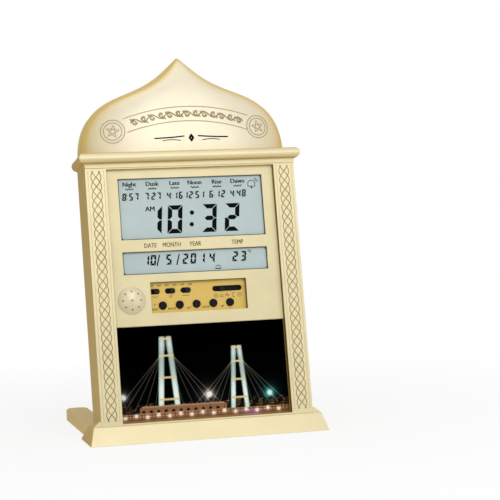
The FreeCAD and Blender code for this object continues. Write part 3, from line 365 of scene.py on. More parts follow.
def cloud(tree, low, high):
    """Faint cloudy drift between two colours, in patches about 36 mm across."""
    where = add(tree, "ShaderNodeTexCoord")
    patches = add(tree, "ShaderNodeTexNoise", {"Scale": 28.0, "Detail": 3.0, "Roughness": 0.55},
                  {"Vector": where.outputs["Object"]})
    drift = add(tree, "ShaderNodeMapRange", {"From Min": 0.35, "From Max": 0.65},
                {"Value": patches.outputs[0]})
    mix = add(tree, "ShaderNodeMix", {"data_type": "RGBA", 6: low, 7: high}, {0: drift.outputs[0]})
    return mix.outputs[2]


def moulded(name, base, shade, spot_mm, settings, grain=0.06, bump_mm=0.02):
    """Moulded or painted surface: a colour with a faint drift under a skin of fine bumps."""
    made, tree = blank(name)
    shader = add(tree, "ShaderNodeBsdfPrincipled", settings,
                 {"Base Color": cloud(tree, shade, base),
                  "Normal": skin(tree, spot_mm, grain, bump_mm)})
    add(tree, "ShaderNodeOutputMaterial", links={"Surface": shader.outputs[0]})
    return made


def painted_shade_by_facing(name, pale, deep, settings, full_shade_at=0.2):
    """Painted shade by facing: the pale colour where the surface faces a fixed direction, from the
    front and a little above, and a deeper colour on sides and undersides, where shade falls. The
    share of the pale colour is the surface normal along that direction, from full_shade_at up."""
    made, tree = blank(name)
    facing = add(tree, "ShaderNodeNewGeometry")
    along = add(tree, "ShaderNodeVectorMath", {"operation": "DOT_PRODUCT", 1: (0.0, -0.95, 0.31)},
                {0: facing.outputs["Normal"]})
    # cover is the share of the pale colour: 0 from full_shade_at down, where only the painted shade
    # colour shows
    cover = add(tree, "ShaderNodeMapRange", {"From Min": full_shade_at, "From Max": 0.98},
                {"Value": along.outputs["Value"]})
    # top is the pale colour with a faint drift; below, the painted shade colour is mixed with it by
    # that share
    top = cloud(tree, [v * 0.955 for v in pale[:3]] + [1.0], pale)
    shaded_colour = add(tree, "ShaderNodeMix", {"data_type": "RGBA", 6: deep}, {0: cover.outputs[0], 7: top})
    shader = add(tree, "ShaderNodeBsdfPrincipled", settings,
                 {"Base Color": shaded_colour.outputs[2], "Normal": skin(tree, 0.7, 0.03, 0.02)})
    add(tree, "ShaderNodeOutputMaterial", links={"Surface": shader.outputs[0]})
    return made


def gold_paint(colours):
    """Champagne gold spray paint over moulded ABS: satin, with a fine metal flake that warms its
    reflections. On sides and undersides it turns to the deeper shade colour: painted shade."""
    return painted_shade_by_facing("champagne_gold_paint_on_ABS", colours.case[:], colours.shade[:],
                   {"Metallic": 0.25, "Roughness": 0.42, "Specular IOR Level": 0.05,
                    "Specular Tint": linear("#E8D39A")})


def pale_paint_with_painted_light(colours):
    """The same paint, paler, over the dome and feet: creamy where the surface faces the front, a
    painted highlight, and a brighter, deeper gold where it turns away, painted shade."""
    return painted_shade_by_facing("pale_champagne_gold_with_painted_highlight_and_shade", colours.dome[:], linear("#E0C47C"),
                   {"Metallic": 0.2, "Roughness": 0.4, "Specular IOR Level": 0.08,
                    "Specular Tint": linear("#F0E4BE")}, full_shade_at=0.7)


def relief_gold(colours):
    """The same paint over fine raised lines: a duller, browner gold, darker than the paint round
    them.
    """
    return moulded("champagne_gold_relief", colours.relief[:], linear("#8B7A4E"), 0.5,
                   {"Metallic": 0.1, "Roughness": 0.5, "Specular IOR Level": 0.3})


def faint_relief(colours):
    """The hairlines of the dome banner, painted over with the dome: only a shade darker than it."""
    return moulded("painted_hairline_relief", linear("#BFB28C"), linear("#B2A57F"), 0.5,
                   {"Metallic": 0.1, "Roughness": 0.5, "Specular IOR Level": 0.2})


def recess_shade_strip(colours):
    """Dark bronze-brown strips on the inner walls of the panel opening and control recess: painted
    shade where those walls fall in shade.
    """
    return moulded("bronze_brown_painted_recess_shade", linear("#7D6A2C"), linear("#6B5A24"), 0.6,
                   {"Roughness": 0.6, "Specular IOR Level": 0.2})


def panel_paint(colours):
    """Pale gold satin paint on the flat front panel, with a faint silky drift."""
    deeper = [v * 0.93 for v in colours.panel[:3]] + [1.0]
    return moulded("pale_gold_satin_panel", colours.panel[:], deeper, 0.6,
                   {"Metallic": 0.2, "Roughness": 0.42, "Specular IOR Level": 0.1})


def brushed_plate(colours):
    """Brushed brass-coloured foil under the switches: fine lines along x, warm and yellow."""
    made, tree = blank("brushed_brass_foil")
    where = add(tree, "ShaderNodeTexCoord")
    # brush lines 0.4 mm apart, coarser than real so that they show
    stretch = add(tree, "ShaderNodeMapping", {"Scale": (60.0, 2500.0, 2500.0)},
                  {"Vector": where.outputs["Object"]})
    lines = add(tree, "ShaderNodeTexNoise", {"Scale": 1.0, "Detail": 2.0},
                {"Vector": stretch.outputs[0]})
    bump = add(tree, "ShaderNodeBump", {"Strength": 0.08, "Distance": 0.00002},
               {"Height": lines.outputs[0]})
    tone = add(tree, "ShaderNodeMix",
               {"data_type": "RGBA", 6: linear("#CBAB52"), 7: colours.plate[:]},
               {0: lines.outputs[0]})
    shader = add(tree, "ShaderNodeBsdfPrincipled", {"Metallic": 0.25, "Roughness": 0.45},
                 {"Base Color": tone.outputs[2], "Normal": bump.outputs[0]})
    add(tree, "ShaderNodeOutputMaterial", links={"Surface": shader.outputs[0]})
    return made


def cap_plastic(colours):
    """Cream gold paint on the domed ABS speaker cap: smooth, with a soft bright highlight, turning to
    a darker gold where it faces away: painted shade.
    """
    return painted_shade_by_facing("cream_gold_paint_on_cap", colours.cap[:], linear("#B39A5A"),
                   {"Metallic": 0.1, "Roughness": 0.32, "Specular IOR Level": 0.4})


def display_glass(colours):
    """Reflective liquid crystal panel behind a polariser: flat blue-grey with a faint grain."""
    return moulded("lcd_polariser", colours.display[:], linear("#BCCECE"), 0.35,
                   {"Roughness": 0.4, "Specular IOR Level": 0.25}, grain=0.02)


def window_border_and_shade(colours):
    """Dark grey border of the display glass, seen as a thin line inside its window: partly the
    glass's printed border, partly painted shade of the window walls.
    """
    return moulded("dark_grey_border_and_painted_shade", linear("#4B4F4A"), linear("#414540"), 0.5,
                   {"Roughness": 0.5, "Specular IOR Level": 0.2})


def display_ink(colours):
    """Liquid crystal segments switched on: matt black with slight mottling."""
    return moulded("liquid_crystal_black", colours.ink[:], linear("#0B0C0E"), 0.4,
                   {"Roughness": 0.7, "Specular IOR Level": 0.05}, grain=0.01)


def label_ink(colours):
    """Brown screen-printed ink of the words on the panel and plate: thin and matt."""
    return moulded("brown_screen_print", colours.print_ink[:], linear("#453719"), 0.4,
                   {"Roughness": 0.7, "Specular IOR Level": 0.1}, grain=0.01)


def black_plastic(colours):
    """Black moulded polystyrene of buttons and slides: satin, a dim bluish shine."""
    return moulded("black_polystyrene", colours.black[:], linear("#0A0A0D"), 0.4,
                   {"Roughness": 0.55, "Specular IOR Level": 0.12}, grain=0.05)


def slide_plastic(colours):
    """Dark grey nylon of the slides: duller and lighter than the slots."""
    return moulded("dark_grey_nylon", linear("#18191C"), linear("#121316"), 0.4,
                   {"Roughness": 0.5, "Specular IOR Level": 0.15})


def cover_plastic(colours):
    """Spark-textured black ABS of the back: a fine pebbled skin that greys in the light."""
    return moulded("textured_black_ABS", colours.cover[:], linear("#2A2B30"), 0.9,
                   {"Roughness": 0.55}, grain=0.35, bump_mm=0.05)


def dark_void(colours):
    """Inside of the case and speaker: raw black moulding, matt and unlit."""
    return moulded("raw_black_moulding", linear("#101012"), linear("#0B0B0D"), 1.0,
                   {"Roughness": 0.8})


def contact_plate(colours):
    """Nickel-plated steel of contacts and cell ends: grey, mirror-like with fine marks."""
    return moulded("nickel_plated_steel", linear("#CDCCC5"), linear("#A9A9A5"), 0.3,
                   {"Metallic": 1.0, "Roughness": 0.3}, grain=0.04)


def blackened_steel(colours):
    """Oil-blackened screw steel: dark, with a soft metal shine."""
    return moulded("blackened_screw_steel", linear("#4A4A4C"), linear("#3A3A3C"), 0.3,
                   {"Metallic": 1.0, "Roughness": 0.4}, grain=0.04)


def board_green(colours):
    """Glass epoxy circuit board under green solder resist, with a faint weave."""
    made, tree = blank("green_solder_resist")
    where = add(tree, "ShaderNodeTexCoord")
    # glass weave 0.6 mm across
    weave = add(tree, "ShaderNodeTexWave", {"Scale": 260.0, "Distortion": 1.5, "Detail": 1.0},
                {"Vector": where.outputs["Object"]})
    tone = add(tree, "ShaderNodeMix",
               {"data_type": "RGBA", 6: linear("#0F4A2B"), 7: linear("#1A6A3C")},
               {0: weave.outputs[0]})
    shader = add(tree, "ShaderNodeBsdfPrincipled", {"Roughness": 0.35, "Coat Weight": 0.4},
                 {"Base Color": tone.outputs[2]})
    add(tree, "ShaderNodeOutputMaterial", links={"Surface": shader.outputs[0]})
    return made


def raw_card(colours):
    """Grey paperboard behind the print: matt with short fibres."""
    return moulded("grey_paperboard", linear("#9B9384"), linear("#857D6F"), 1.2,
                   {"Roughness": 0.9}, grain=0.3, bump_mm=0.05)


def printed_card(colours):
    """Photo print on card, matt laminated: the piece's own colour attribute, with a dot grain."""
    made, tree = blank("matt_laminated_print")
    ink = add(tree, "ShaderNodeAttribute", {"attribute_name": "Print"})
    # print dot 0.25 mm
    shader = add(tree, "ShaderNodeBsdfPrincipled", {"Roughness": 0.7, "Specular IOR Level": 0.0},
                 {"Base Color": ink.outputs["Color"], "Normal": skin(tree, 0.25, 0.02, 0.01)})
    add(tree, "ShaderNodeOutputMaterial", links={"Surface": shader.outputs[0]})
    return made


def cell_jacket(colours):
    """Printed foil round a zinc cell: white, gold and orange-red bands along its length."""
    made, tree = blank("printed_foil_cell_jacket")
    where = add(tree, "ShaderNodeTexCoord")
    split = add(tree, "ShaderNodeSeparateXYZ", links={0: where.outputs["Object"]})
    # the jacket ends 28.4 mm either side of the middle
    along = add(tree, "ShaderNodeMapRange", {"From Min": -0.0284, "From Max": 0.0284},
                {"Value": split.outputs[0]})
    bands = add(tree, "ShaderNodeValToRGB", links={0: along.outputs[0]})
    ramp = bands.color_ramp
    ramp.interpolation = "CONSTANT"
    stops = [(0.0, "#E9E4DA"), (0.28, "#D2A13A"), (0.36, "#D8451F"), (0.68, "#D2A13A"),
             (0.76, "#F0ECE4")]
    for number, (where_at, hex_text) in enumerate(stops):
        stop = ramp.elements[number] if number < 2 else ramp.elements.new(where_at)
        stop.position = where_at
        stop.color = linear(hex_text)
    shader = add(tree, "ShaderNodeBsdfPrincipled", {"Metallic": 0.45, "Roughness": 0.3},
                 {"Base Color": bands.outputs[0], "Normal": skin(tree, 1.1, 0.03, 0.02)})
    add(tree, "ShaderNodeOutputMaterial", links={"Surface": shader.outputs[0]})
    return made


def background_rays(tree):
    """1 for a ray that should see the white background: from the camera, a mirror or glass."""
    path = add(tree, "ShaderNodeLightPath")
    two = add(tree, "ShaderNodeMath", {"operation": "MAXIMUM"},
              {0: path.outputs["Is Camera Ray"], 1: path.outputs["Is Glossy Ray"]})
    return add(tree, "ShaderNodeMath", {"operation": "MAXIMUM"},
               {0: two.outputs[0], 1: path.outputs["Is Transmission Ray"]}).outputs[0]


def studio_floor(colours):
    """White paper sweep: seen by the camera as white paper that still takes the shadow."""
    made, tree = blank("white_paper_sweep")
    where = add(tree, "ShaderNodeTexCoord")
    far = add(tree, "ShaderNodeVectorMath", {"operation": "LENGTH"}, {0: where.outputs["Object"]})
    # the sheet whitens out between 0.15 and 0.6 m from the object
    fade = add(tree, "ShaderNodeMapRange",
               {"From Min": 0.15, "From Max": 0.6, "To Min": 0.85, "To Max": 1.0},
               {"Value": far.outputs["Value"]})
    share = add(tree, "ShaderNodeMath", {"operation": "MULTIPLY"},
                {0: background_rays(tree), 1: fade.outputs[0]})
    paper = add(tree, "ShaderNodeBsdfDiffuse", {"Roughness": 0.5},
                {"Color": cloud(tree, linear("#F4F4F4"), linear("#FAFAFA"))})
    glow = add(tree, "ShaderNodeEmission", {"Color": (1, 1, 1, 1), "Strength": 1.0})
    both = add(tree, "ShaderNodeMixShader",
               links={0: share.outputs[0], 1: paper.outputs[0], 2: glow.outputs[0]})
    add(tree, "ShaderNodeOutputMaterial", links={"Surface": both.outputs[0]})
    return made


_made = {}


def finish(maker):
    """Each material is made once, from the colours in the scene."""
    if maker not in _made:
        _made[maker] = maker(bpy.context.scene.clock_colours)
    return _made[maker]


# ---------------------------------------------------------------- dome
DOME_HALF, DOME_RISE, CROWN, RIM = 99.0, 95.3, 5.0, 30.0
KNEE = (51.7, 61.0)


def ogee(half, rise, count=60):
    """Right half of the dome outline: two cubic curves, from the foot over a knee to the point.
    Each point is the weighted mean of four poles with weights (1-t)^3, 3t(1-t)^2, 3t^2(1-t), t^3."""
    knee = np.array([half * KNEE[0] / DOME_HALF, rise * KNEE[1] / DOME_RISE])
    run = np.array([-math.cos(0.36), math.sin(0.36)])
    last = np.array([-math.cos(0.76), math.sin(0.76)])
    foot, tip = np.array([half, 0.0]), np.array([0.0, rise])
    t = np.linspace(0, 1, count)[:, None]
    weights = np.concatenate([(1 - t) ** 3, 3 * t * (1 - t) ** 2, 3 * t * t * (1 - t), t ** 3], 1)
    lower = weights @ np.array([foot, foot + [0, rise * 0.462], knee - run * half * 0.219, knee])
    upper = weights @ np.array([knee, knee + run * half * 0.265, tip - last * half * 0.261, tip])
    return np.concatenate([lower, upper[1:]])


OUTLINE = ogee(DOME_HALF, DOME_RISE, 2000)
OUTLINE_ANGLE = np.arctan2(OUTLINE[:, 1], OUTLINE[:, 0])
OUTLINE_REACH = np.hypot(OUTLINE[:, 0], OUTLINE[:, 1])


def swell(x, up, crown=CROWN):
    """Depth of the dome at x across and up from its foot: rim - (rim - crown) * sqrt((1 - v^3)
    (1 - s^3)), where v is the share of the height and s of the outline's half width there."""
    half = np.interp(up, OUTLINE[:, 1], OUTLINE[:, 0])
    v, s = np.clip(up / DOME_RISE, 0, 1), np.clip(np.abs(x) / np.maximum(half, 1e-6), 0, 1)
    return RIM - (RIM - crown) * np.sqrt((1 - v ** 3) * (1 - s ** 3))


def dome_face(x, z):
    """Depth of the dome's face: the swell, with heights from the cornice top."""
    return swell(x, np.maximum(z - CORNICE_TOP, 0))


def dome_loops(thin, foot, crown, steps, back):
    """The outline nested from the middle of the foot to the rim, each point set back by the
    swell and each loop closed by a straight line across the floor at the depth of its ends, then
    carried straight to the back. thin draws the whole in by a wall: (across, up)."""
    angle = np.linspace(0, math.pi, 481)
    k = np.sin(np.linspace(0.0, 1.0, steps) * math.pi / 2)[:, None]
    k[0] = 1e-5
    reach = k * np.interp(np.minimum(angle, math.pi - angle), OUTLINE_ANGLE, OUTLINE_REACH)
    x, z = reach * np.cos(angle), reach * np.sin(angle)
    base = np.linspace(-1, 1, 60)[1:-1] * k * DOME_HALF
    x, z = np.concatenate([x, base], 1), np.concatenate([z, base * 0], 1)
    deep = swell(x, z, crown)
    deep[-1] = RIM
    deep[:, len(angle):] = deep[:, :1]
    x, z = x * (1 - thin[0] / DOME_HALF), foot + z * (1 - thin[1] / DOME_RISE)
    straight = np.stack([np.stack([x[-1], np.full(x.shape[1], y), z[-1]], -1) for y in back])
    return np.concatenate([np.stack([x, deep, z], -1), straight])


def make_dome():
    """The outer loops with the inner ones in turned order after them, so that one grid runs over
    the face, round the back rim and over the inside."""
    outer = dome_loops((0, 0), CORNICE_TOP, CROWN, 70, (34.0, 38.0, 41.6, 42.0))
    inner = dome_loops((2.4, 3.6), CORNICE_TOP + 2.4, CROWN + 2.4, 24, (38.0, 42.0))
    grid = np.concatenate([outer, inner[::-1]])
    rows, columns = grid.shape[:2]
    dome = piece("dome_moulding", stand(grid), sheet_faces(rows, columns, wrap_columns=True),
                 finish(pale_paint_with_painted_light), sharp=50, merge=5e-6, outward=True)
    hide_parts("dome_hood")


def arch(x, left, middle, right):
    """Height of a banner line: the parabola through its two ends and its crown."""
    return np.poly1d(np.polyfit([left[0], middle[0], right[0]], [left[1], middle[1], right[1]], 2))(x)


def make_dome_ornament():
    """Raised banner, end medallions with five-point stars, and a leaf scroll between the lines."""
    sizes = bpy.context.scene.clock_sizes
    wide, proud = sizes.dome_line * 1000, 0.4
    parts = []
    across = np.linspace(-60, 62, 90)
    parts.append(tube(np.stack([across, arch(across, (-60, 283), (2, 293.2), (62, 283.6))], 1),
                      wide, proud, dome_face))
    across = np.linspace(-57, 61, 90)
    parts.append(tube(np.stack([across, arch(across, (-57, 269.8), (2, 279.3), (61, 269.6))], 1),
                      wide, proud, dome_face))
    for x, z in ((-69.5, 271.8), (70.5, 273.0)):
        for radius in (11, 8.3):
            parts.append(tube(ring(x, z, radius), wide, proud, dome_face, closed=True))
        turn = np.radians(90 + 144 * np.arange(6) + (10 if x > 0 else -10))
        corners = np.stack([x + 6.6 * np.cos(turn), z + 6.6 * np.sin(turn)], 1)
        for first, second in zip(corners, corners[1:]):
            side = first + (second - first) * np.linspace(0, 1, 14)[:, None]
            parts.append(tube(side, wide * 0.8, proud, dome_face))
    points, faces = gather(parts)
    piece("dome_banner", stand(points), faces, finish(faint_relief), outward=True)
    # leaf scroll: a wave along the banner's middle line with a curl and two leaves in each half wave
    parts, start, reach, curls = [], -53, 109, 13
    t = np.linspace(0, 1, 240)
    x = start + reach * t
    banner = ((-60, 276.2), (2, 286.2), (62, 276.4))
    wave = arch(x, *banner) + 2.3 * np.sin(t * math.pi * curls)
    parts.append(tube(np.stack([x, wave], 1), 1.1, 0.45, dome_face))
    for number in range(curls):
        cx = start + reach * (number + 0.5) / curls
        cz = float(arch(cx, *banner))
        flip = 1 if number % 2 else -1
        turn = np.linspace(0, 1.6 * 2 * math.pi, 34)
        size = 2.5 * (1 - 0.72 * turn / turn[-1])
        around = flip * turn + 0.4
        curl = np.stack([cx + size * np.cos(around), cz + flip * 0.6 + size * np.sin(around)], 1)
        parts.append(tube(curl, 0.9, 0.42, dome_face))
        for lean, long in ((0.9, 3.0), (2.2, 2.6)):
            u = long * np.linspace(0, 1, 12)
            leaf = np.stack([cx + 2.6 * flip + u * math.cos(lean),
                             cz - flip * (1.1 + u * math.sin(lean))], 1)
            parts.append(tube(leaf, 1.3, 0.42, dome_face))
    points, faces = gather(parts)
    piece("dome_scroll", stand(points), faces, finish(relief_gold), outward=True)
    # printed divider under the banner: a lozenge between bent strokes; the lozenge's x and z are
    # the sign times the square of a circle's
    parts, middle, ink = [], 4, 0.06
    t = np.linspace(0, 1, 40)
    for sign in (-1, 1):
        upper = np.stack([middle + sign * (6 + 30 * t), 263.2 + 1.6 * (1 - t) ** 2], 1)
        lower = np.stack([middle + sign * (10 + 18 * t), 260.6 + 0.9 * np.sin(math.pi * t)], 1)
        parts.append(tube(upper, 1.3, ink, dome_face, round_steps=4))
        parts.append(tube(lower, 0.8, ink, dome_face, round_steps=4))
    turn = np.linspace(0, 2 * math.pi, 32, endpoint=False)
    c, s = np.cos(turn), np.sin(turn)
    for size in (2.2, 1.1):
        lozenge = np.stack([middle + size * np.sign(c) * c ** 2,
                            263.0 + 1.5 * size * np.sign(s) * s ** 2], 1)
        parts.append(tube(lozenge, 1.2, ink, dome_face, closed=True, round_steps=4))
    points, faces = gather(parts)
    piece("dome_print", stand(points), faces, finish(display_ink), outward=True)


# ---------------------------------------------------------------- cornice
CORNICE_WALL = 2.2
CORNICE_SHELF = 13.65    # how far the moulding's top runs in from the case side
CORNICE_FRONT = -1.5


def cornice_profile():
    """Profile (outward, up): a half-round nose over a hollow cove, then the inside of the wall."""
    top, low, radius, wall, nose = CORNICE_TOP, 235.7, 5.1, CORNICE_WALL, 0.4
    middle = top - radius
    turn = np.radians(np.linspace(90, -78, 30))
    bull = np.stack([nose + radius * np.cos(turn), middle + radius * np.sin(turn)], 1)
    end = bull[-1]
    third = np.array([0.35, end[1] * 0.75 + low * 0.25])
    t = np.linspace(0, 1, 16)[1:, None]
    bend = 2 * third - (end + (0, low)) / 2
    cove = (1 - t) ** 2 * end + 2 * t * (1 - t) * bend + t * t * np.array([0, low])
    inside_turn = np.radians(np.linspace(-78, 90, 10))
    inner = radius - wall
    inside = np.stack([nose + inner * np.cos(inside_turn), middle + inner * np.sin(inside_turn)], 1)
    return np.concatenate([[(-CORNICE_SHELF, top)], bull, cove, [(-1.8, low)], [(-1.8, 239.5)],
                           inside, [(-CORNICE_SHELF, top - wall)]])


def make_cornice():
    """The profile carried round three sides: at each corner it is moved outward on both sides,
    which mitres it. A flat deck closes the middle."""
    profile = cornice_profile()
    out, up = profile[:, 0], profile[:, 1]
    back, front = CASE_BACK - 2.6, CORNICE_FRONT
    none = np.zeros(len(out))
    stations = [(-CASE_HALF - out, none + back), (-CASE_HALF - out, front - out),
                (CASE_HALF + out, front - out), (CASE_HALF + out, none + back)]
    grid = np.stack([np.stack([x, y, up], 1) for x, y in stations])
    faces = sheet_faces(4, len(out), wrap_columns=True).tolist()
    n = len(out)
    faces += [list(range(n)), list(range(3 * n, 4 * n))[::-1]]
    half, near = CASE_HALF - CORNICE_SHELF, front + CORNICE_SHELF
    corners = ((-half, near), (half, near), (half, back), (-half, back))
    deck = np.array([(x, y, z) for z in (CORNICE_TOP - CORNICE_WALL, CORNICE_TOP)
                     for x, y in corners])
    box = [[0, 1, 2, 3], [7, 6, 5, 4], [0, 4, 5, 1], [1, 5, 6, 2], [2, 6, 7, 3], [3, 7, 4, 0]]
    points, faces = gather([(grid, faces), (deck, box)])
    made = piece("cornice_moulding", stand(points), faces, finish(gold_paint), sharp=35, outward=True)
    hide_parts("cornice")


# ---------------------------------------------------------------- columns
def make_columns():
    """Lattice: four strands per column, x = centre + swing * sin(2 pi (z / wave + quarter)), each
    a quarter wave on from the last, with beads down both borders, each bead a low dome."""
    sizes = bpy.context.scene.clock_sizes
    swing, wave = sizes.strand_swing * 1000, sizes.strand_wave * 1000
    wide, proud = sizes.strand_width * 1000, sizes.strand_rise * 1000
    flat = level_face(0)
    parts = []
    z = np.linspace(*COLUMN_ENDS, 400)
    for centre in (-COLUMN, COLUMN):
        for quarter in (0.0, 0.25, 0.5, 0.75):
            x = centre + swing * np.sin(2 * math.pi * (z / wave + quarter))
            parts.append(tube(np.stack([x, z], 1), wide, proud, flat, round_steps=6))
    points, faces = gather(parts)
    piece("column_lattice", stand(points), faces, finish(relief_gold), outward=True)
    bead = sizes.bead * 1000 / 2
    rows = np.arange(3.0, COLUMN_ENDS[1], 2.05)
    centres = np.array([(side * (COLUMN + out), h) for side in (-1, 1) for out in (-7.4, 7.4)
                        for h in rows])
    turn = np.linspace(0, 2 * math.pi, 6, endpoint=False)
    # rings of one bead: share of its radius, and depth
    rings = np.array([(1.0, 0.12), (0.95, -0.12), (0.55, -0.3), (0.02, -0.36)])
    cap = np.stack([rings[:, :1] * np.cos(turn) * bead, np.broadcast_to(rings[:, 1:], (4, 6)),
                    rings[:, :1] * np.sin(turn) * bead], -1).reshape(-1, 3)
    one = sheet_faces(4, 6, wrap_columns=True)
    shift = np.stack([centres[:, 0], centres[:, 0] * 0, centres[:, 1]], 1)
    points = (cap[None] + shift[:, None]).reshape(-1, 3)
    faces = (one[None] + (np.arange(len(centres)) * len(cap))[:, None, None]).reshape(-1, 4).tolist()
    for start in range(0, len(points), len(cap)):
        faces.append(list(range(start + 18, start + 24)))
        faces.append(list(range(start, start + 6))[::-1])
    piece("column_beads", stand(points), faces, finish(relief_gold), sharp=60, outward=True)


# ---------------------------------------------------------------- displays
SEGMENTS = {"0": "abcdef", "1": "bc", "2": "abged", "3": "abgcd", "4": "fgbc", "5": "afgcd",
            "6": "afgedc", "7": "abc", "8": "abcdefg", "9": "abcdfg"}
HEADS = (("Night", -59.8), ("Dusk", -38.3), ("Late", -16.8), ("Noon", 2.5), ("Rise", 23.8),
         ("Dawn", 44.0))
TIMES = (("857", -65.6), ("727", -44.4), ("416", -23.4), ("1251", -7.2), ("612", 17.4),
         ("448", 37.6))


def digit(mark, x, z, wide, high, stroke, lean):
    """Seven-part digit at its lower left corner: each lit bar is a mitred strip with a hairline
    gap to its neighbours, and all lean by x + lean * z."""
    t, g, m = stroke, stroke * 0.09, high / 2
    upper, lower = m + t / 2 + g, m - t / 2 - g
    bars = {
        "a": [(g, high), (wide - g, high), (wide - t - g, high - t), (t + g, high - t)],
        "d": [(g, 0), (wide - g, 0), (wide - t - g, t), (t + g, t)],
        "f": [(0, high - g), (t, high - t - g), (t, upper), (t / 2, m + g), (0, m + g)],
        "e": [(0, g), (t, t + g), (t, lower), (t / 2, m - g), (0, m - g)],
        "b": [(wide, high - g), (wide - t, high - t - g), (wide - t, upper), (wide - t / 2, m + g),
              (wide, m + g)],
        "c": [(wide, g), (wide - t, t + g), (wide - t, lower), (wide - t / 2, m - g), (wide, m - g)],
        "g": [(t / 2 + g, m), (t + g, m + t / 2), (wide - t - g, m + t / 2), (wide - t / 2 - g, m),
              (wide - t - g, m - t / 2), (t + g, m - t / 2)],
    }
    return [[(x + u + lean * v, z + v) for u, v in bars[name]] for name in SEGMENTS[mark]]


def bar(x0, z0, x1, z1, thick):
    """Straight printed stroke between two points."""
    along = np.array([x1 - x0, z1 - z0], float)
    side = np.array([-along[1], along[0]]) / np.hypot(*along) * thick / 2
    a, b = np.array([x0, z0]), np.array([x1, z1])
    return [a - side, b - side, b + side, a + side]


def arcs(x, z, radius, start, end, thick, count=10):
    """Curved printed stroke as a row of short bars."""
    turn = np.radians(np.linspace(start, end, count))
    at = np.stack([x + radius * np.cos(turn), z + radius * np.sin(turn)], 1)
    return [bar(*at[i], *at[i + 1], thick) for i in range(count - 1)]


def make_rims():
    """Dark border inside each window, the display's dark edge and painted shade on the window walls:
    square outside, rounded inside, joined front and back. A rounded rectangle is sign(cos) * (half -
    r) + r * cos across, and the same with sin up."""
    parts = []
    turn = (np.arange(240) + 0.5) * 2 * math.pi / 240
    c, s = np.cos(turn), np.sin(turn)
    for left, right, low, high in WINDOWS:
        middle = np.array([left + right, low + high]) / 2
        half = np.array([right - left, high - low]) / 2
        outer, inner = [middle + np.stack([np.sign(c) * (half[0] - inset - r) + r * c,
                                           np.sign(s) * (half[1] - inset - r) + r * s], 1)
                        for inset, r in ((-0.05, 0.01), (0.55, 2.4))]
        front = PANEL + 0.5
        loops = [np.insert(o, 1, y, 1) for o, y in ((outer, GLASS_FACE), (outer, front),
                                                    (inner, front), (inner, GLASS_FACE))]
        parts.append((np.concatenate(loops), sheet_faces(4, 240, wrap_rows=True, wrap_columns=True)))
    points, faces = gather(parts)
    piece("display_borders", stand(points), faces, finish(window_border_and_shade), outward=True)


def make_displays():
    """Printed digits, signs and words on the two windows, and the words on the panel."""
    glass = finish(display_glass)
    dress("lcd_main", glass)
    dress("lcd_date", glass)
    dark = finish(display_ink)
    stroke = bpy.context.scene.clock_sizes.digit_stroke * 1000
    shapes = []
    for mark, x in (("1", -44.5), ("0", -25.0), ("3", 8.0), ("2", 30.0)):
        shapes += digit(mark, x, 173.3, 14.0, 26.4, stroke, 0.09)
    shapes += [ring(-0.2, 192.2, 2.1, 20), ring(-1.2, 181.2, 2.1, 20)]
    small_lean = 0.12
    for marks, x in TIMES:
        for number, mark in enumerate(marks):
            shapes += digit(mark, x, 205.6, 3.8, 6.8, 1.4, small_lean)
            x += 4.9 if len(marks) == 4 else 5.1
            if number == len(marks) - 3:
                shapes += [ring(x - 0.2, 207.3, 0.35, 8), ring(x, 210.2, 0.35, 8)]
                x += 1.2
    for mark, x in (("1", -49.8), ("0", -43.3), ("5", -28.5), ("2", -12.7), ("0", -5.2),
                    ("1", 3.2), ("4", 12.8)):
        shapes += digit(mark, x, 144.2, 5.2, 9.7, 1.85, small_lean)
    shapes += [bar(x, 143.6, x + 3.0, 153.8, 1.2) for x in (-36.9, -18.2)]
    for mark, x in (("2", 35.2), ("3", 43.1)):
        shapes += digit(mark, x, 144.6, 5.2, 9.3, 1.85, small_lean)
    # bell and wave sign beside the times, and the small sign under the date
    x, foot = 59.3, 215.2
    shapes += arcs(x, 217.2, 3.6, 20, 160, 0.6)
    shapes += [bar(x - 3.7, foot, x + 3.7, foot, 0.6), bar(x - 3.4, 218.4, x - 3.4, foot, 0.6),
               bar(x + 3.4, 218.4, x + 3.4, foot, 0.6), ring(x, 213.9, 0.9, 12)]
    for radius in (5.4, 6.8):
        shapes += arcs(x, 217.2, radius, 20, 60, 0.5, 6)
    shapes += arcs(21.2, 138.8, 2.8, 25, 155, 0.6) + [bar(18.4, 138.6, 24.0, 138.6, 0.9)]
    # short wavy marks under the six headings
    for _, centre in HEADS:
        u = np.linspace(-4.0, 4.0, 12)
        path = np.stack([centre + 1.8 + u, 216.2 + 0.7 * np.sin(u * 2.1 + centre)], 1)
        shapes += [bar(*path[i], *path[i + 1], 0.85) for i in range(11)]
    points, faces = gather(prisms(shapes, GLASS_FACE - 0.05, GLASS_FACE + 0.03))
    piece("display_digits", stand(points), faces, dark, sharp=30)
    lines = [(text, x + 1.8, 220.6, 4.2) for text, x in HEADS]
    lines += [("AM", -39.8, 196.9, 4.6), ("°C", 52.4, 153.4, 2.6)]
    words("display_words", lines, GLASS_FACE, dark, bold=0.22)
    lines = [(text, x, 162.4, 4.3) for text, x in (("DATE", -42.4), ("MONTH", -22.2), ("YEAR", 0.3),
                                                   ("TEMP", 40.8))]
    words("panel_words", lines, PANEL, finish(label_ink), bold=0.08, squeeze=0.8)
    make_rims()


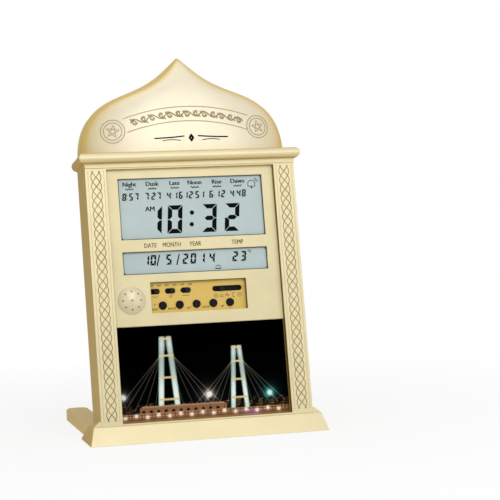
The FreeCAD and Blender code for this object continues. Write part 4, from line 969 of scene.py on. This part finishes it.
# ---------------------------------------------------------------- controls
def make_controls():
    """Control plate with its printed words and signs, five button caps and four slide knobs."""
    black = finish(black_plastic)
    dress("control_plate", finish(brushed_plate))
    for node in ("slide_housings", "tact_switches"):
        dress(node, black)
    label = finish(label_ink)
    lines = []
    slots = [SLIDE_FIRST + SLIDE_STEP * number for number in range(3)]
    for x in slots:
        lines += [("OFF", x - 2.9, 125.3, 1.7), ("ON", x + 4.4, 125.3, 1.7)]
    for number, text in enumerate(("RESET", "MODE", "SET", "HOUR", "UP")):
        lines.append((text, -41.2 + BUTTON_STEP * number, 103.3, 1.9))
    words("control_words", lines, PLATE, label, bold=0.06)
    shapes = [bar(x, 116.3, x, 117.6, 0.35) for x in (22.5, 25.4, 28.75, 32.3, 35.8)]
    shapes += [bar(-43.0, 115.8, -40.5, 114.2, 0.4), bar(-40.5, 114.2, -38.0, 115.8, 0.4),
               bar(-14.5, 115.2, -7.8, 115.2, 0.5), [(-41.9, 108.2), (-40.3, 108.2), (-41.1, 106.9)]]
    shapes += arcs(-25.7, 115.2, 1.3, 0, 360, 0.4, 14)
    for x in (17.5, 40.2):
        shapes += arcs(x, 113.5, 1.8, 0, 360, 0.35, 16)
    shapes += [bar(16.3, 113.5, 18.7, 113.5, 0.35), bar(39.0, 113.0, 41.4, 114.2, 0.35)]
    shapes += arcs(22.9, 112.6, 1.7, 0, 180, 0.4, 10) + [bar(21.0, 112.2, 24.8, 112.2, 0.4)]
    shapes += [bar(26.6, 112.2, 27.8, 115.0, 0.5), bar(27.8, 115.0, 29.2, 112.4, 0.5),
               bar(29.2, 112.4, 30.6, 114.4, 0.5)]
    shapes += arcs(34.9, 113.5, 1.8, 60, 300, 0.45, 12)
    points, faces = gather(prisms(shapes, PLATE - 0.03, PLATE + 0.02))
    piece("control_signs", stand(points), faces, label, sharp=30)
    # buttons: turned caps with a shallow dish, each (radius, depth) pair about its own centre
    profile = [(0.01, 7.68), (1.2, 7.66), (2.2, 7.56), (2.9, 7.5), (3.25, 7.55), (3.5, 7.75),
               (3.6, 8.1), (3.6, 11.25), (4.8, 11.25), (4.8, 12.2), (0.01, 12.2)]
    for number in range(5):
        turned, faces = lathe(profile, 40)
        x = BUTTON_FIRST + BUTTON_STEP * number
        points = np.stack([turned[:, 0] + x, turned[:, 2], turned[:, 1] + BUTTON_UP], 1)
        cap = piece(f"button_cap_{number + 1}", stand(points), faces, black,
                    f"button_{number + 1}_body", merge=2e-5, outward=True)
        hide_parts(f"button_{number + 1}")
    for number, x in enumerate(slots):
        make_slide(f"switch_knob_{number + 1}", x + SLIDE_AT_REST, f"switch_{number + 1}_body")
    make_slide("selector_knob", SELECTOR + SELECTOR_AT_REST, "selector_body")


def make_slide(node, centre, body):
    """Slide knob: a superellipse outline lofted through depth levels, ribbed across its face by
    depth + rib * cos(2 pi x / pitch), on a flat carriage."""
    turn = np.linspace(0, 2 * math.pi, 64, endpoint=False)
    c, s = np.cos(turn), np.sin(turn)
    across = np.sign(c) * np.abs(c) ** 0.45 * 2.5
    up = np.sign(s) * np.abs(s) ** 0.45 * 2.3
    # levels: depth, share of the outline across, share up
    levels = ((12.2, 1.12, 1.4), (11.2, 1.12, 1.4), (11.2, 1.0, 1.0), (8.7, 1.0, 1.0),
              (8.4, 0.94, 0.94), (8.3, 0.86, 0.86))
    rings = [np.stack([across * wide, np.full(64, y), up * high], 1) for y, wide, high in levels]
    rib, pitch = 0.12, 1.0
    for k in (0.7, 0.5, 0.3, 0.1):
        depth = 8.42 + rib * np.cos(2 * math.pi * across * k / pitch)
        rings.append(np.stack([across * k, depth, up * k], 1))
    grid = np.stack(rings)
    grid[..., 0] += centre
    grid[..., 2] += SLIDE_UP
    faces = sheet_faces(len(grid), 64, wrap_columns=True).tolist()
    last = (len(grid) - 1) * 64
    faces += [list(range(64)), list(range(last, last + 64))[::-1]]
    knob = piece(node + "_ribbed", stand(grid), faces, finish(slide_plastic), body, outward=True)
    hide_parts(node)


# ---------------------------------------------------------------- panel, speaker, picture
def make_panel():
    """Front panel and speaker cap, dark strips of painted shade inside the openings, and the parts
    behind them.
    """
    soften("front_panel", finish(panel_paint), 0.0004, shortest=0.006)
    soften("speaker_cap", finish(cap_plastic), 0.0002, shortest=0.5)
    # painted shade inside the opening and the control recess: thin dark strips on the sides and top
    strips = [((s * (OPENING - 0.12), 0.9, 0.4),
               (s * (OPENING + 0.1), PANEL + 0.1, OPENING_TOP - 0.1)) for s in (-1, 1)]
    strips.append(((-OPENING, 0.9, OPENING_TOP - 0.3), (OPENING, PANEL + 0.1, OPENING_TOP + 0.2)))
    left, right, low, high = RECESS
    strips += [((x - 0.1, PANEL + 0.3, low), (x + 0.1, PLATE - 0.1, high)) for x in (left, right)]
    strips.append(((left, PANEL + 0.3, high - 0.1), (right, PLATE - 0.1, high + 0.1)))
    box = [[0, 1, 3, 2], [4, 6, 7, 5], [0, 4, 5, 1], [2, 3, 7, 6], [0, 2, 6, 4], [1, 5, 7, 3]]
    parts = []
    for a, b in strips:
        corners = [(x, y, z) for x in (a[0], b[0]) for y in (a[1], b[1]) for z in (a[2], b[2])]
        parts.append((np.array(corners), box))
    points, faces = gather(parts)
    piece("painted_opening_shade", stand(points), faces, finish(recess_shade_strip), outward=True)
    dark = finish(dark_void)
    for node in ("lcd_carrier", "speaker_driver"):
        dress(node, dark)
    for node in ("main_board", "control_board"):
        dress(node, finish(board_green))
    dress("board_parts", dark)


def glow(x, z, cx, cz, size, power=2.0):
    """Round light: falls away as 1 / (1 + (distance / size)^power)."""
    far = np.hypot(x - cx, z - cz) / size
    return 1 / (1 + far ** power)


def box_mask(x, z, x0, x1, z0, z1, soft=0.35):
    """1 inside a rectangle, with edges soft over a short distance."""
    edge = lambda v, a, b: 1 / (1 + np.exp(-(v - a) / soft * 4)) / (1 + np.exp((v - b) / soft * 4))
    return edge(x, x0, x1) * edge(z, z0, z1)


PYLONS = ((-34.0, 78.0, 46.0), (33.0, 66.0, 40.0))        # across, top, reach of the cables
POSTS = ((62, 20), (4, 22), (-77, 24))                    # lamps on posts: across, up
CARD_LAP, CARD_LOW, CARD_HIGH, CARD_THICK = 4.7, 0.3, 90.2, 0.6


def night_view(x, z):
    """Colours of a generic night view: a black sky, a lit cable bridge with two pale pylons, a
    warm quay of arches and windows, lamps with round glows and their streaks on the water."""
    colour = np.zeros(x.shape + (3,))

    def lay(mask, rgb):
        """Colour laid over the rest, as thick as the mask."""
        colour[:] = colour * (1 - mask[..., None]) + np.asarray(rgb) * mask[..., None]

    def light(mask, rgb):
        """Colour added to the rest, as strong as the mask."""
        colour[:] = colour + mask[..., None] * np.asarray(rgb)

    haze = np.exp(-np.maximum(z - 10, 0) / 9.0) * 0.5 * np.exp(-((x - 10) / 60) ** 2)
    light(haze, (0.03, 0.035, 0.05))
    halos = ((4.4, (0.24, 0.70, 0.70)), (4.8, (0.66, 0.62, 0.60)), (3.6, (0.66, 0.64, 0.66)))
    for (lx, lz), (size, rgb) in zip(POSTS, halos):
        light(glow(x, z, lx, lz, size, 2.6), rgb)
    # far bank: blocks of uneven height with small lit windows
    spacing = 5.2
    block = np.floor((x + 90) / spacing)
    high = 11.5 + 4.5 * np.abs(np.sin(block * 2.37)) + 3.0 * np.abs(np.sin(block * 5.1 + 1.0))
    wall = box_mask(x, z, -90, 90, 0, 60) / (1 + np.exp((z - high) * 5))
    wall = wall * (np.abs((x + 90) % spacing - spacing / 2) < 2.3)
    lay(wall * 0.9, (0.075, 0.06, 0.06))
    pane = (np.cos(x * 2 * math.pi / 1.3) > 0.2) * (np.cos(z * 2 * math.pi / 1.5) > 0.3)
    lit = np.abs(np.sin(np.floor(x / 1.3) * 12.9 + np.floor(z / 1.5) * 78.2)) > 0.55
    light(wall * pane * lit * (z < high - 0.8) * 0.5, (0.95, 0.72, 0.42))
    # cables: a fan of straight lines from the head of each pylon to the deck
    deck = 12
    for px, top, reach in PYLONS:
        for share in (0.3, 0.5, 0.7, 0.9, 1.1):
            for sign in (-1, 1):
                t = (x - px) * sign / (reach * share)
                drop = (top - deck) * (1 - 0.16 * share)
                thick = 0.28 * (1 + drop / (reach * share))
                line = np.exp(-((z - deck - drop * (1 - t)) / thick) ** 2)
                light(line * (t > 0) * (t < 1) * 0.34, (0.80, 0.78, 0.70))
    # pylons: two slim legs that lean together, tied by beams, lit from the deck upward
    foot = 6
    for px, top, _ in PYLONS:
        up = np.clip((z - foot) / (top - foot), 0, 1)
        spread = 0.115 * (top - foot) * (1 - 0.62 * up)
        body = box_mask(x, z, -90, 90, foot, top)
        lit_up = 0.80 + 0.30 * np.exp(-((up - 0.25) / 0.22) ** 2)
        lit_up = lit_up + 0.12 * np.exp(-((up - 0.9) / 0.1) ** 2)
        rim = np.exp(-((np.abs(np.abs(x - px) - spread) / (0.026 * top)) ** 2))
        tone = np.stack([(0.62 + 0.34 * rim) * lit_up, (0.84 + 0.15 * rim) * lit_up,
                         (0.80 + 0.18 * rim) * lit_up], -1)
        legs = sum(1 / (1 + np.exp((np.abs(x - px - side * spread) - 0.034 * top) * 6))
                   for side in (-1, 1))
        beams = sum(box_mask(x, z, -90, 90, foot + (top - foot) * level,
                             foot + (top - foot) * level + 1.9)
                    for level in (0.18, 0.46, 0.74, 0.955))
        beams = beams * (np.abs(x - px) < spread + 0.03 * top)
        m = (np.clip(legs, 0, 1) * body)[..., None]
        colour[:] = colour * (1 - m) + tone * m
        lay(np.clip(beams, 0, 1) * 0.95, (0.92, 0.83, 0.60))
    # deck and quay with arches, windows and a lit parapet
    lay(box_mask(x, z, -90, 90, -2, 8.2), (0.40, 0.28, 0.19))
    lay(box_mask(x, z, -62, 20, 8, 13.5), (0.57, 0.41, 0.29))
    lay(box_mask(x, z, -60, 18, 13.2, 14.6), (0.72, 0.55, 0.42))
    rows = 0.5 + 0.5 * np.cos(z * 2 * math.pi / 1.9)
    light(box_mask(x, z, -90, 90, 0, 8) * rows * 0.16, (0.9, 0.72, 0.55))
    arch_x = (x + 90) % 7.0 - 3.5
    hole = 1 / (1 + np.exp((np.hypot(arch_x, np.maximum(z - 9.4, 0)) - 1.5) * 7))
    lay(hole * box_mask(x, z, -60, 18, 8.6, 12.6), (0.10, 0.05, 0.04))
    windows = (np.cos(x * 2 * math.pi / 3.1) > 0.35) * (np.cos((z - 5.2) * 2 * math.pi / 3.0) > 0.2)
    windows = windows * box_mask(x, z, -88, 88, 3.6, 8.0)
    light(windows * 0.30, (1.0, 0.74, 0.5))
    lay(box_mask(x, z, -90, 90, -2, 1.6) * 0.85, (0.62, 0.50, 0.33))
    light(np.exp(-((x - 44) / 9) ** 2) * box_mask(x, z, 20, 70, 1, 6), (0.10, 0.06, 0.28))
    # lamps along the quay, and the larger ones on posts
    for number, lx in enumerate(np.arange(-76, 80, 10.4)):
        lz = 6.3 if number % 2 else 4.9
        light(glow(x, z, lx, lz, 1.5, 3.2), (0.95, 0.93, 0.9))
    for lx, lz in POSTS:
        lay(box_mask(x, z, lx - 0.3, lx + 0.3, 6, lz) * 0.5, (0.25, 0.25, 0.25))
        light(glow(x, z, lx, lz, 1.9, 4.0), (1.0, 1.0, 0.98))
    speck = np.sin(x * 12.9898 + z * 78.233) * 43758.5453
    colour *= 0.94 + 0.12 * (speck - np.floor(speck))[..., None]
    return np.clip(colour, 0, 1)


def make_picture():
    """Printed card: a fine grid whose points carry the view's colours, with a plain back."""
    cell = bpy.context.scene.clock_sizes.print_cell * 1000
    half, high = OPENING + CARD_LAP, CARD_HIGH - CARD_LOW
    across = np.linspace(-half, half, int(2 * half / cell))
    up = np.linspace(CARD_LOW, CARD_HIGH, int(high / cell))
    x, z = np.meshgrid(across, up)
    front = np.stack([x, np.full(x.shape, PICTURE_FACE), z], -1)
    rows, columns = x.shape
    frame_loop = np.concatenate([np.arange(columns), columns * (np.arange(1, rows) + 1) - 1,
                                 (rows - 1) * columns + np.arange(columns - 2, -1, -1),
                                 columns * np.arange(rows - 2, 0, -1)])
    points = front.reshape(-1, 3)
    behind = points[frame_loop] + (0, CARD_THICK, 0)
    n, start = len(frame_loop), len(points)
    i = np.arange(n)
    walls = np.stack([frame_loop, i + start, (i + 1) % n + start, frame_loop[(i + 1) % n]], 1)
    faces = np.concatenate([sheet_faces(rows, columns), walls]).tolist()
    faces.append(list(range(start + n - 1, start - 1, -1)))
    shade = np.concatenate([night_view(x, z).reshape(-1, 3), np.full((n, 3), 0.6)])
    # screen values to light values
    shade = np.where(shade <= 0.04045, shade / 12.92, ((shade + 0.055) / 1.055) ** 2.4)
    card = piece("printed_picture", stand(np.concatenate([points, behind])), faces,
                 finish(printed_card), sharp=30, outward=True)
    tint = card.data.color_attributes.new("Print", "FLOAT_COLOR", "POINT")
    tint.data.foreach_set("color", np.concatenate([shade, np.ones((len(shade), 1))], 1).ravel())
    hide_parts("picture_card")
    dress("picture_backing", finish(raw_card))


# ---------------------------------------------------------------- back
def make_back():
    """Back cover and battery box, three cells, their contacts and the screws."""
    cover = finish(cover_plastic)
    soften("back_cover", cover, 0.0004, shortest=0.006)
    soften("battery_box", cover, 0.0003, shortest=0.006)
    dress("contact_strips", finish(contact_plate))
    # cells: turned jacket with a crimped shoulder at each end, (radius, place along x)
    crimp, base, r = 26.55, -22.3, CELL
    profile = [(0.01, crimp + 1.2), (2.4, crimp + 1.2), (2.7, crimp + 0.9), (2.7, crimp - 0.25),
               (5.9, crimp - 0.3), (6.5, crimp - 0.1), (6.9, crimp - 0.5), (r, crimp - 1.1),
               (r, crimp - 20), (r, base + 0.7), (6.9, base), (6.5, base - 0.4), (5.8, base - 0.3),
               (0.01, base - 0.25)]
    for number in range(3):
        side = 1 if number % 2 == 0 else -1
        up = CELL_FIRST + CELL_STEP * number
        turned, faces = lathe(profile, 48)
        points = np.stack([turned[:, 2] * side, turned[:, 0] + CELL_DEPTH, turned[:, 1] + up], 1)
        cell = piece(f"cell_{number + 1}_jacket", stand(points), faces, finish(cell_jacket),
                     f"cell_{number + 1}_body", merge=2e-5, outward=True)
        cell.data.materials.append(finish(contact_plate))
        middle = np.empty(len(cell.data.polygons) * 3)
        cell.data.polygons.foreach_get("center", middle)
        along = middle.reshape(-1, 3)[:, 0] * 1000 * side
        metal = (along > crimp - 0.35) | (along < base)
        cell.data.polygons.foreach_set("material_index", metal.astype(np.int32))
        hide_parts(f"cell_{number + 1}")
    make_springs()
    make_screws()


def make_springs():
    """Contact springs: round wire along a cone helix, radius 2.75 to 1.65 mm over four turns."""
    parts, steps, sides, wire = [], 120, 6, 0.3
    t = np.linspace(0, 1, steps)[:, None]
    turn = t * 2 * math.pi * 4
    radius = 2.75 - 1.1 * t
    angle = np.linspace(0, 2 * math.pi, sides, endpoint=False)
    for number in range(3):
        side = -1 if number % 2 == 0 else 1
        up = CELL_FIRST + CELL_STEP * number
        core = np.concatenate([side * (27.55 - 3.7 * t), CELL_DEPTH + radius * np.cos(turn),
                               up + radius * np.sin(turn)], 1)
        along = np.gradient(core, axis=0)
        along /= np.linalg.norm(along, axis=1, keepdims=True)
        outward = np.concatenate([t * 0, np.cos(turn), np.sin(turn)], 1)
        other = np.cross(along, outward)
        around = outward[:, None] * np.cos(angle)[:, None] + other[:, None] * np.sin(angle)[:, None]
        skin_points = core[:, None] + wire * around
        last = (steps - 1) * sides
        faces = sheet_faces(steps, sides, wrap_columns=True).tolist()
        faces += [list(range(sides)), list(range(last, last + sides))[::-1]]
        parts.append((skin_points.reshape(-1, 3), faces))
    points, faces = gather(parts)
    made = piece("contact_coils", stand(points), faces, finish(contact_plate),
                 outward=True)
    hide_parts("contact_springs")


def make_screws():
    """Pan heads on a polar grid: a low dome less a cross, cut where either axis is within the
    blade width and inside its reach."""
    parts, head, shank = [], 2.9, 1.1
    spread = np.concatenate([np.linspace(0.02, 0.9, 16), [0.96, 1.0]])[:, None]
    turn = np.linspace(0, 2 * math.pi, 64, endpoint=False)
    c, s = np.cos(turn), np.sin(turn)
    x, z = head * spread * c, head * spread * s

    def blade(across, along, half=0.42, reach=1.7):
        """1 inside one arm of the cross, falling to 0 over a short soft edge."""
        return (1 / (1 + np.exp((np.abs(across) - half) * 14))
                / (1 + np.exp((np.abs(along) - reach) * 14)))

    cross = np.maximum(blade(x, z), blade(z, x))
    proud = 1.6 - 0.55 * spread ** 4 - 0.8 * cross
    places = [(side * COLUMN, h) for side in (-1, 1) for h in (8, 85, 228)] + [(0, 310)]
    for cx, cz in places:
        rings = [np.stack([x + cx, CASE_BACK + proud, z + cz], -1)]
        for radius, depth in ((head, CASE_BACK), (shank, CASE_BACK), (shank, 31.0), (0.05, 30.6)):
            loop = np.stack([cx + radius * c, np.full(64, depth), cz + radius * s], -1)
            rings.append(loop[None])
        grid = np.concatenate(rings)
        faces = sheet_faces(len(grid), 64, wrap_columns=True).tolist()
        last = (len(grid) - 1) * 64
        faces += [list(range(64))[::-1], list(range(last, last + 64))]
        parts.append((grid.reshape(-1, 3), faces))
    points, faces = gather(parts)
    made = piece("case_screw_heads", stand(points), faces, finish(blackened_steel),
                 sharp=35, outward=True)
    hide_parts("case_screws")
    dress("foot_screws", finish(blackened_steel))


# ---------------------------------------------------------------- case
def make_case():
    """Case shell, plinth and feet: the CAD solids with their sharp edges rounded."""
    sizes = bpy.context.scene.clock_sizes
    gold = finish(gold_paint)
    soften("case_shell", gold, sizes.edge_round, shortest=0.008)
    soften("plinth", gold, sizes.base_round, shortest=0.004)
    for foot in ("foot_left", "foot_right"):
        soften(foot, finish(pale_paint_with_painted_light), 0.0006, shortest=0.012)


# ---------------------------------------------------------------- studio
CAMERA_PLACE = (-0.371047, -1.634335, 0.255430)
CAMERA_RIGHT = (0.965244, -0.259493, -0.031102)
CAMERA_UP = (0.043729, 0.043031, 0.998116)
LENS = 126.0
# lamps: name, place, power in watts, width; all face the aim
LAMPS = (("key", (0.1, -0.82, 0.66), 2.6, 0.45), ("right fill", (1.0, -1.4, 0.25), 3.3, 0.8),
         ("left fill", (-0.8, -1.5, 0.3), 2.3, 0.8), ("overhead", (-0.1, -0.15, 1.05), 1.5, 0.6))
LAMP_AIM = (0, -0.04, 0.18)


def make_stage():
    """Paper sweep, pale surroundings, four soft lamps and the camera of the photo."""
    scene = bpy.context.scene
    scene.view_settings.view_transform = "Standard"
    x, y = np.meshgrid(np.linspace(-6, 6, 13), np.linspace(-4, 8, 13))
    mesh = bpy.data.meshes.new("paper_sweep")
    sheet = np.stack([x, y, np.full(x.shape, -0.0002)], -1).reshape(-1, 3)
    mesh.from_pydata(sheet.tolist(), [], sheet_faces(*x.shape).tolist())
    floor = bpy.data.objects.new("paper_sweep", mesh)
    scene.collection.objects.link(floor)
    mesh.materials.append(finish(studio_floor))
    world = bpy.data.worlds.new("studio")
    scene.world = world
    world.use_nodes = True
    tree = world.node_tree
    tree.nodes.clear()
    soft = add(tree, "ShaderNodeBackground", {"Color": linear("#F4F1EA"), "Strength": 0.4})
    white = add(tree, "ShaderNodeBackground", {"Color": (1, 1, 1, 1), "Strength": 1.0})
    both = add(tree, "ShaderNodeMixShader",
               links={0: background_rays(tree), 1: soft.outputs[0], 2: white.outputs[0]})
    add(tree, "ShaderNodeOutputWorld", links={"Surface": both.outputs[0]})
    for name, place_at, power, wide in LAMPS:
        light = bpy.data.lights.new(name, "AREA")
        light.energy = power
        light.size = wide
        lamp = bpy.data.objects.new(name, light)
        lamp.location = place_at
        aim = Vector(LAMP_AIM) - Vector(place_at)
        lamp.rotation_euler = aim.to_track_quat("-Z", "Y").to_euler()
        scene.collection.objects.link(lamp)
    lens = bpy.data.cameras.new("photo_view")
    lens.sensor_fit = "HORIZONTAL"
    lens.sensor_width = 36.0
    lens.lens = LENS
    lens.clip_start = 0.05
    lens.clip_end = 50.0
    view = bpy.data.objects.new("photo_view", lens)
    right, up = Vector(CAMERA_RIGHT).normalized(), Vector(CAMERA_UP).normalized()
    back = right.cross(up).normalized()
    up = back.cross(right)
    turn = Matrix((right, up, back)).transposed().to_4x4()
    view.matrix_world = Matrix.Translation(CAMERA_PLACE) @ turn
    scene.collection.objects.link(view)
    scene.camera = view


# ---------------------------------------------------------------- operators
class CLOCK_OT_case(bpy.types.Operator):
    """Round the edges of the case, plinth and feet, and paint them"""
    bl_idname = "clock.case"
    bl_label = "Case, Plinth and Feet"

    def execute(self, context):
        make_case()
        return {"FINISHED"}


class CLOCK_OT_dome(bpy.types.Operator):
    """Make the swelling dome, the cornice under it and the raised banner"""
    bl_idname = "clock.dome"
    bl_label = "Dome and Cornice"

    def execute(self, context):
        make_dome()
        make_cornice()
        make_dome_ornament()
        return {"FINISHED"}


class CLOCK_OT_columns(bpy.types.Operator):
    """Lay the lattice and beads on the column fronts"""
    bl_idname = "clock.columns"
    bl_label = "Column Lattice"

    def execute(self, context):
        make_columns()
        return {"FINISHED"}


class CLOCK_OT_panel(bpy.types.Operator):
    """Finish the front panel, the speaker cap and the boards behind them"""
    bl_idname = "clock.panel"
    bl_label = "Front Panel and Speaker"

    def execute(self, context):
        make_panel()
        return {"FINISHED"}


class CLOCK_OT_displays(bpy.types.Operator):
    """Finish both displays with their digits and words"""
    bl_idname = "clock.displays"
    bl_label = "Displays"

    def execute(self, context):
        make_displays()
        return {"FINISHED"}


class CLOCK_OT_controls(bpy.types.Operator):
    """Make the buttons, the slide knobs and the printed signs of the control plate"""
    bl_idname = "clock.controls"
    bl_label = "Controls"

    def execute(self, context):
        make_controls()
        return {"FINISHED"}


class CLOCK_OT_picture(bpy.types.Operator):
    """Print the night view on its card"""
    bl_idname = "clock.picture"
    bl_label = "Picture"

    def execute(self, context):
        make_picture()
        return {"FINISHED"}


class CLOCK_OT_back(bpy.types.Operator):
    """Finish the back cover, battery box, cells, contacts and screws"""
    bl_idname = "clock.back"
    bl_label = "Back and Batteries"

    def execute(self, context):
        make_back()
        return {"FINISHED"}


class CLOCK_OT_stage(bpy.types.Operator):
    """Lay the floor, hang the lamps and set the camera"""
    bl_idname = "clock.stage"
    bl_label = "Studio"

    def execute(self, context):
        make_stage()
        return {"FINISHED"}


STEPS = ("case", "dome", "columns", "panel", "displays", "controls", "picture", "back", "stage")


class CLOCK_PT_sidebar(bpy.types.Panel):
    bl_label = "Table Clock"
    bl_idname = "CLOCK_PT_sidebar"
    bl_space_type = "VIEW_3D"
    bl_region_type = "UI"
    bl_category = "Clock"

    def draw(self, context):
        for step in STEPS:
            self.layout.operator("clock." + step)
        for group in (context.scene.clock_sizes, context.scene.clock_colours):
            for name in group.__annotations__:
                self.layout.prop(group, name)


CLASSES = (ClockSizes, ClockColours, CLOCK_OT_case, CLOCK_OT_dome, CLOCK_OT_columns, CLOCK_OT_panel,
           CLOCK_OT_displays, CLOCK_OT_controls, CLOCK_OT_picture, CLOCK_OT_back, CLOCK_OT_stage,
           CLOCK_PT_sidebar)


def register():
    for item in CLASSES:
        bpy.utils.register_class(item)
    bpy.types.Scene.clock_sizes = PointerProperty(type=ClockSizes)
    bpy.types.Scene.clock_colours = PointerProperty(type=ClockColours)


def unregister():
    del bpy.types.Scene.clock_colours
    del bpy.types.Scene.clock_sizes
    for item in reversed(CLASSES):
        bpy.utils.unregister_class(item)


def main():
    """Run every operator in turn."""
    register()
    for step in STEPS:
        getattr(bpy.ops.clock, step)()


if __name__ == "__main__":
    main()
